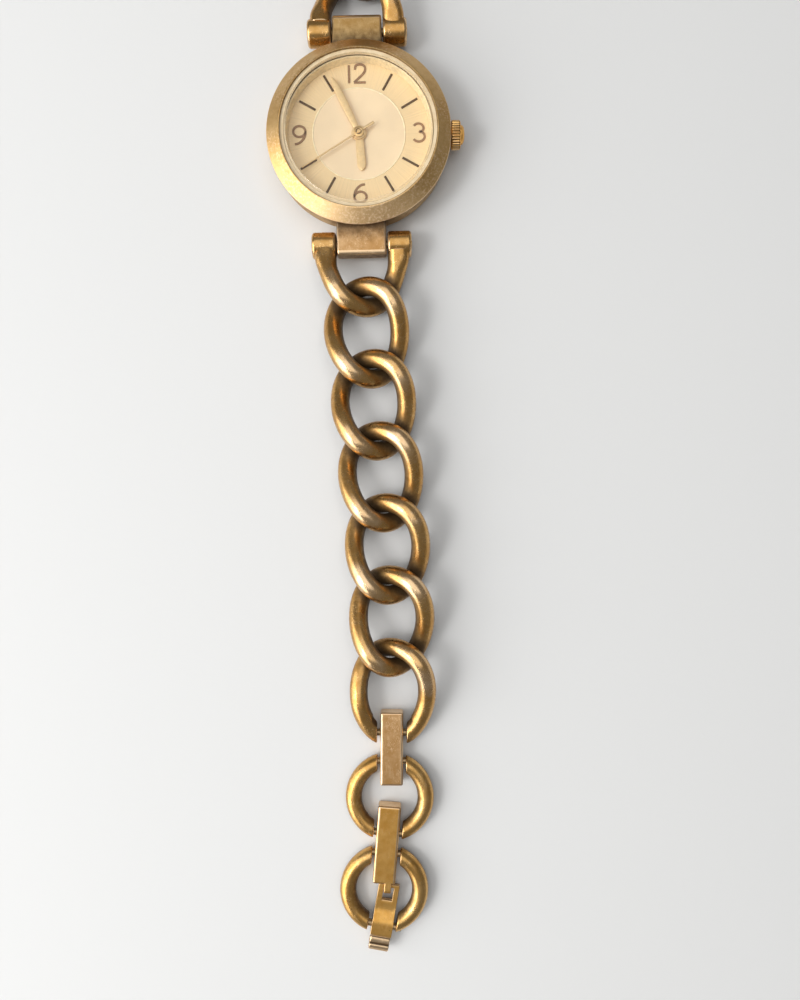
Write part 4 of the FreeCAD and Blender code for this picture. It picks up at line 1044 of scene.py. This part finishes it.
class ChainWatchHands(PieceOperator, Operator):
    """Adds the three hands with their bosses"""
    bl_idname = "chain_watch.hands"
    bl_label = "Hands"

    def build(self):
        dial = sizes("dial")
        gold = lacquer("hand_gold", sizes("finishes").hands, metallic=0.45, rough=0.42, speck=0.06)
        shapes = {"hour_hand": ((0.0, 0.30, 0.80, 0.90, 1.0), (0.38, 0.43, 0.46, 0.44, 0.05)),
                  "minute_hand": ((0.0, 0.20, 0.55, 0.86, 1.0), (0.27, 0.38, 0.47, 0.42, 0.05))}
        for name, low, angle, reach, width, boss in (
                ("hour_hand", HOUR_HAND_LEVEL, dial.hour_angle, 5.3, 1.35, 1.08),
                ("minute_hand", MINUTE_HAND_LEVEL, dial.minute_angle, 8.6, 1.10, 0.93)):
            stations, widths = (np.array(values) for values in shapes[name])
            steps = np.linspace(0, 1, 60)
            widths = np.interp(steps, stations, widths)
            widths = np.convolve(np.pad(widths, 3, mode="edge"), np.ones(7) / 7, mode="valid")
            blade = hand_grid(steps * reach * MM, widths * width * MM, low * MM, 0.12 * MM)
            disc, weight = softened(rectangle(0.2, low, boss, low + 0.13), 0.03)
            grids = [put(blade, (np.zeros(3), -angle)), turned(disc, weight, 72)]
            make_piece(name + "_blade", grids, name, gold, [name])
        low = SECOND_HAND_LEVEL
        stations = np.array([-2.5, -2.42, -1.3, -1.1, 0.0, 9.3, 9.4]) * MM
        widths = np.array([1.1, 1.4, 1.4, 1.0, 0.9, 0.6, 0.3]) * 0.14 * MM
        blade = hand_grid(stations, widths, low * MM, 0.11 * MM)
        make_piece("second_hand_blade", [put(blade, (np.zeros(3), -dial.second_angle))], "second_hand",
                   gold, ["second_hand"])
        outline, weight = softened([
            (0, low - 0.02), (0.74, low - 0.02), (0.74, low + 0.10), (0.44, low + 0.16), (0.36, low + 0.08),
            (0.30, low + 0.08), (0.27, low + 0.24), (0, low + 0.27)], 0.03, closed=False)
        hub = turned(outline, weight, 72, closed=False)
        # Painted shade in the groove round the pin
        hub["hollow"] = 0.8 * near(off_axis(hub["points"]), 0.36, 0.10)
        make_piece("second_hand_hub", [hub], "second_hand",
                   antiqued("hub_gold", sizes("finishes").hands, wear=0.4, scratch=0.1, rough=0.36),
                   ["second_hand"])


class ChainWatchCrown(PieceOperator, Operator):
    """Adds the fluted crown with its domed cap"""
    bl_idname = "chain_watch.crown"
    bl_label = "Crown"

    def build(self):
        head = sizes("head")
        radius = head.crown_radius / MM
        profile, weight = softened([
            (0, 0.5), (1.0, 0.5), (1.0, 0.0), (radius - 0.15, 0.0), (radius, 0.15), (radius, 1.1),
            (radius - 0.2, 1.3), (1.42, 1.3), (1.3, 1.36), (1.3, 1.56), (1.0, 1.78), (0.5, 1.88), (0, 1.9)],
            0.1, closed=False)
        fluted = (profile[:, 0] > (radius - 0.12) * MM) & (profile[:, 1] > 0.1 * MM)
        knob = turned(profile, np.where(fluted, 2.0, weight), 360, closed=False,
                      flutes=head.crown_flutes, flute_depth=0.14 * MM)
        dip = head.crown_radius - off_axis(knob["points"])
        # Painted shade, with patina, in the bottoms of the flutes
        knob["hollow"] = np.where(fluted[None], 0.72 * ramp(dip, 0.0, 0.13) ** 2, 0.0)
        knob["edge"] = np.where(fluted[None], 0.7 - knob["hollow"], knob["edge"] * 0.35)
        gold = antiqued("crown_gold", sizes("finishes").clasp_gold * 1.28, wear=0.9, scratch=0.1,
                        rough=0.40)
        make_piece("crown_knob", [upended(knob, (CROWN_START * MM, 0, CROWN_LEVEL * MM))], "crown",
                   gold, ["crown"])
        dress(moulded("seal_rubber", (0.025, 0.025, 0.025), rough=0.55), "crown_gasket")


class ChainWatchMovement(PieceOperator, Operator):
    """Gives the movement's pieces their finishes"""
    bl_idname = "chain_watch.movement"
    bl_label = "Movement"

    def build(self):
        dress(drawn_metal("movement_steel", (0.56, 0.56, 0.56), rough=0.30), "winding_stem",
              "setting_lever", "motor_rotor", "battery_clip", "motor_stator")
        dress(drawn_metal("battery_steel", (0.64, 0.64, 0.63), rough=0.22, grain_turn=0.7), "battery")
        dress(drawn_metal("movement_brass", (0.62, 0.46, 0.20), rough=0.32, grain_turn=1.2), "main_plate",
              "train_bridge", "hour_wheel", "minute_wheel", "second_wheel", "third_wheel")
        dress(moulded("holder_plastic", (0.72, 0.70, 0.64), rough=0.45), "movement_holder")
        dress(printed_board("board_green", (0.02, 0.10, 0.04), (0.35, 0.30, 0.10)), "circuit_board")
        dress(wound_wire("coil_copper", (0.62, 0.26, 0.11)), "motor_coil")


class ChainWatchLinks(PieceOperator, Operator):
    """Adds the curb links, the two lug links with their ears, the end link and the closing eye"""
    bl_idname = "chain_watch.links"
    bl_label = "Chain"

    def build(self):
        upper = half_lines("upper", UPPER_LINKS, "closing_eye", eye_line())
        lower = half_lines("lower", LOWER_LINKS, "end_link", end_link_line(sizes("chain")))
        for lines in (dict(reversed(upper.items())), lower):
            row = list(lines)
            for place, name in enumerate(row):
                others = [lines[other] for other in row[max(0, place - 1):place + 2] if other != name]
                self.link(name, lines[name], others)

    def link(self, name, line, others):
        wire, slot = sizes("chain").wire_radius, "chain_gold"
        outline, weight = disc_outline(wire)
        if "curb" in name:
            grid = carried(line, outline, weight)
        elif name == "closing_eye":
            wire, slot = EYE_WIRE * MM, "ring_gold"
            grid = carried(line, *disc_outline(wire, 28))
        elif name == "end_link":
            wire = END_WIRE * MM
            face = heading(stand("first_bar_hinge")[1])
            grid = carried_open(line, *disc_outline(wire), 0.22 * MM, faces=(face, face))
        else:
            foot = squared_outline(1.53 * MM, 1.36 * MM, 0.72)
            reach = 3.4 * MM / np.linalg.norm(np.diff(line, axis=0), axis=1).sum()
            stops = (0, 0.3 * reach, reach, 1 - reach, 1 - 0.3 * reach, 1)
            grid = carried_open(line, outline, weight, 0.16 * MM,
                                sections=(stops, (foot, foot, outline, outline, foot, foot)))
        grids = [painted_shade_and_patina(grid, line, others, wire)]
        if "lug" in name:
            grids += self.ears(name)
        make_piece(name + "_wire", grids, name, satin(slot), [name])

    def ears(self, name):
        """Two round ears on the lug's pin: a circle carried along X with well rounded ends."""
        at = stand(name.replace("link", "hinge"), "lower" in name)
        inner, level, grids = sizes("head").lug_width / 2 + EAR_GAP * MM, LUG_PIN_LEVEL * MM, []
        for side in (1, -1):
            path = straight((side * inner, 0, level), (side * (inner + EAR_WIDTH * MM), 0, level), 24)
            grid = carried_open(path, *disc_outline(EAR_RADIUS * MM, 64), 0.42 * MM)
            out, height = np.abs(grid["points"][..., 0]) - inner, grid["points"][..., 2]
            # Painted shade underneath and where the ear meets the lug block
            grid["hollow"] = np.maximum(ramp(height, 1.6, 0.6) * 0.6, ramp(out, 0.35, 0.0) * 0.8)
            grid["edge"] = grid["edge"] * 0.8
            grids.append(put(grid, at))
        return grids


class ChainWatchRings(PieceOperator, Operator):
    """Adds the two split rings"""
    bl_idname = "chain_watch.rings"
    bl_label = "Split rings"

    def build(self):
        self.ring("first_ring", stand("first_ring_hinge"), stand("second_bar_hinge"))
        self.ring("second_ring", stand("second_ring_hinge"), stand("clasp_leaf_hinge", False))

    def ring(self, name, start, end):
        """Two arcs round the ring's middle, cut along the bars' sides: c = m + R (cos a, sin a)."""
        chain = sizes("chain")
        radius, wire = chain.ring_middle, chain.ring_wire
        middle, apart = (start[0] + end[0]) / 2, end[0] - start[0]
        way, gap = math.atan2(apart[1], apart[0]), math.asin(chain.slot_half / radius)
        faces = [heading(angle) for _, angle in (start, end)]
        grids = []
        for side in (1, -1):
            line = middle + radius * heading(way + side * np.linspace(math.pi - gap, gap, 130))
            line[:, 2] = chain.pin_level
            grid = carried_open(line, *disc_outline(wire), 0.2 * MM, faces=faces)
            points = grid["points"]
            out, rise = off_axis(points - middle) - radius, points[..., 2] - chain.pin_level
            to_end = np.minimum(*(np.linalg.norm(points - line[stop], axis=-1) for stop in (0, -1)))
            # Painted shade with patina on the inner side and underneath, and painted shadow at the cut ends
            # beside the bars
            grid["hollow"] = np.maximum.reduce([0.75 * np.clip(-out / wire - 0.05, 0, 1),
                                                0.92 * np.clip(0.40 - rise / wire, 0, 1),
                                                0.55 * ramp(to_end, 1.6, 0.0) * (grid["edge"] < 0.5)])
            grid["edge"] = np.maximum(grid["edge"] * 0.8, 0.55 * np.clip(rise / wire - 0.55, 0, 1))
            grids.append(grid)
        make_piece(name + "_halves", grids, name, satin("ring_gold"), [name])


class ChainWatchBars(PieceOperator, Operator):
    """Adds the two bevelled bars and the catch on the second"""
    bl_idname = "chain_watch.bars"
    bl_label = "Bars"

    def build(self):
        self.bar("first_bar", -3.1, 7.4, satin("bar_bronze"))
        self.bar("second_bar", -4.1, 7.05, satin("clasp_gold"))

    def bar(self, name, start, end, material):
        """A box with rounded edges along Y, from start to end in millimetres."""
        chain = sizes("chain")
        level, half = chain.pin_level, chain.bar_thick / 2
        path = straight((0, start * MM, level), (0, end * MM, level), 40)
        grid = carried_open(path, *box_outline(chain.bar_width, 2 * half, 0.34 * MM), 0.30 * MM)
        low = np.clip((level - grid["points"][..., 2]) / half, 0, 1)
        # Painted shade on the lower half, less on the rounded edges
        grid["hollow"] = low * 0.45 * (1 - grid["edge"] * 0.6)
        grids = [grid]
        if name == "second_bar":
            line = [(-0.6, end + along, high) for along, high in (
                (-0.6, 2.3), (0.5, 2.3), (1.12, 2.3), (1.14, 1.75), (1.12, 1.15))]
            catch = spline(np.array(line) * MM, False, smooth=3)
            grids.append(carried_open(catch, *box_outline(0.51 * MM, 1.0 * MM, 0.12 * MM, 3), 0.1 * MM,
                                      up=(1, 0, 0)))
        at = stand(name + "_hinge")
        make_piece(name + "_body", [put(each, at) for each in grids], name, material, [name])


class ChainWatchClasp(PieceOperator, Operator):
    """Adds the clasp's windowed leaf and its hook"""
    bl_idname = "chain_watch.clasp"
    bl_label = "Clasp"

    def build(self):
        at, level = stand("clasp_leaf_hinge", False), sizes("chain").pin_level
        outer, _ = softened(rectangle(-1.52, -6.03, 1.52, 1.36), 0.2)
        inner, _ = softened(rectangle(-0.74, -5.58, 0.74, -3.75), 0.08)

        def swell(y):
            """Half the leaf's thickness, which grows towards its pin."""
            return (0.44 + 0.54 * eased(ramp(y, -2.4, -0.5))) * MM

        plate = framed_plate(divided(inner), divided(outer), lambda y: level - swell(y),
                             lambda y: level + swell(y), 0.1 * MM)
        # Painted shade on the leaf's underside
        plate["hollow"] = 0.7 * ramp(level - plate["points"][..., 2], 0.0, 0.4)
        make_piece("clasp_leaf_plate", [put(plate, at)], "clasp_leaf", satin("clasp_gold"),
                   ["clasp_leaf"])
        self.hook(at)

    def hook(self, at):
        """A strip bent along a J: it leaves the leaf, steps down into a groove, and curls under."""
        circle = heading(np.radians(np.linspace(75, -90, 13)))[:, :2]
        curl = np.array([2.42, 1.28]) + [0.96, 1.02] * circle
        line = spline([(0.9, 1.95), (1.3, 2.0), (1.55, 2.16), (2.12, 2.18), (2.34, 1.86), (2.55, 2.30),
                       *curl], False, count=10, smooth=4)
        path = np.pad(line, ((0, 0), (1, 0))) * MM
        grid = carried_open(path, *box_outline(0.50 * MM, 2.84 * MM, 0.16 * MM, 4), 0.14 * MM, up=(1, 0, 0))
        along, height = grid["points"][..., 1], grid["points"][..., 2]
        # Painted shade in the two grooves and underneath
        grid["hollow"] = np.maximum.reduce([near(along, 2.34, 0.22), near(along, 1.40, 0.15),
                                            ramp(height, 1.2, 0.2) * 0.6])
        grid["edge"] = np.maximum(grid["edge"], ramp(height, 2.2, 2.4))
        make_piece("clasp_hook_strip", [put(grid, at)], "clasp_leaf", satin("bar_bronze"),
                   ["clasp_hook"])


class ChainWatchStage(Operator):
    """Adds the camera, the floor and the soft lights"""
    bl_idname = "chain_watch.stage"
    bl_label = "Stage"
    bl_options = {"REGISTER", "UNDO"}

    def execute(self, context):
        stage, scene = sizes("stage"), context.scene
        camera = placed("camera", bpy.data.cameras.new("camera"))
        camera.data.lens = stage.lens
        camera.data.clip_start, camera.data.clip_end = 1 * MM, 10.0
        camera.location = (stage.camera_across, stage.camera_along, stage.camera_height)
        camera.rotation_euler = (0.0, 0.0, stage.camera_turn)
        scene.camera = camera

        mesh = bpy.data.meshes.new("floor")
        wide = 3.0
        corners = [(*corner, FLOOR_LEVEL * MM) for corner in rectangle(-wide, -wide, wide, wide)]
        mesh.from_pydata(corners, [], [(0, 1, 2, 3)])
        mesh.materials.append(plain_floor("floor", sizes("finishes").floor))
        placed("floor", mesh)

        self.lamp("window_light", (-0.49, -0.11, 0.24), 0.56, stage.window_power)
        self.lamp("high_light", (-0.34, -0.12, 0.44), 0.16, stage.high_power)
        self.lamp("low_light", (-0.36, -0.36, 0.19), 0.30, stage.low_power)
        self.lamp("ceiling_light", (-0.05, 0.06, 0.66), 0.70, stage.ceiling_power)
        world = bpy.data.worlds.new("sky")
        world.use_nodes = True
        background = world.node_tree.nodes["Background"]
        background.inputs["Color"].default_value = (1.0, 1.0, 1.0, 1.0)
        background.inputs["Strength"].default_value = stage.sky
        scene.world = world
        scene.view_settings.view_transform = "Standard"
        return {"FINISHED"}

    def lamp(self, name, spot, size, power):
        """A square soft light that looks at the middle of the bracelet."""
        light = bpy.data.lights.new(name, "AREA")
        light.size, light.energy = size, power
        lamp = placed(name, light)
        lamp.location = spot
        aim = Vector((0.0, -0.045, 0.0)) - Vector(spot)
        lamp.rotation_euler = aim.to_track_quat("-Z", "Y").to_euler()


class ChainWatchPanel(Panel):
    """Lists the pieces and the groups of sizes"""
    bl_idname = "VIEW3D_PT_chain_watch"
    bl_label = "Chain watch"
    bl_space_type = "VIEW_3D"
    bl_region_type = "UI"
    bl_category = "Chain watch"

    def draw(self, context):
        for operator in OPERATORS:
            self.layout.operator(operator.bl_idname)
        for group in GROUPS:
            box, settings = self.layout.box(), sizes(group)
            for name in settings.bl_rna.properties.keys():
                if name not in ("rna_type", "name"):
                    box.prop(settings, name)


OPERATORS = (ChainWatchStage, ChainWatchCase, ChainWatchCrystal, ChainWatchDial, ChainWatchHands,
             ChainWatchCrown, ChainWatchMovement, ChainWatchLinks, ChainWatchRings, ChainWatchBars,
             ChainWatchClasp)


def register():
    for group, kind in GROUPS.items():
        bpy.utils.register_class(kind)
        setattr(bpy.types.Scene, "chain_watch_" + group, PointerProperty(type=kind))
    for operator in OPERATORS:
        bpy.utils.register_class(operator)
    bpy.utils.register_class(ChainWatchPanel)


def unregister():
    bpy.utils.unregister_class(ChainWatchPanel)
    for operator in reversed(OPERATORS):
        bpy.utils.unregister_class(operator)
    for group, kind in reversed(GROUPS.items()):
        delattr(bpy.types.Scene, "chain_watch_" + group)
        bpy.utils.unregister_class(kind)


def main():
    """Registers the classes and adds every piece."""
    register()
    for operator in OPERATORS:
        group, name = operator.bl_idname.split(".")
        getattr(getattr(bpy.ops, group), name)()


if __name__ == "__main__":
    main()
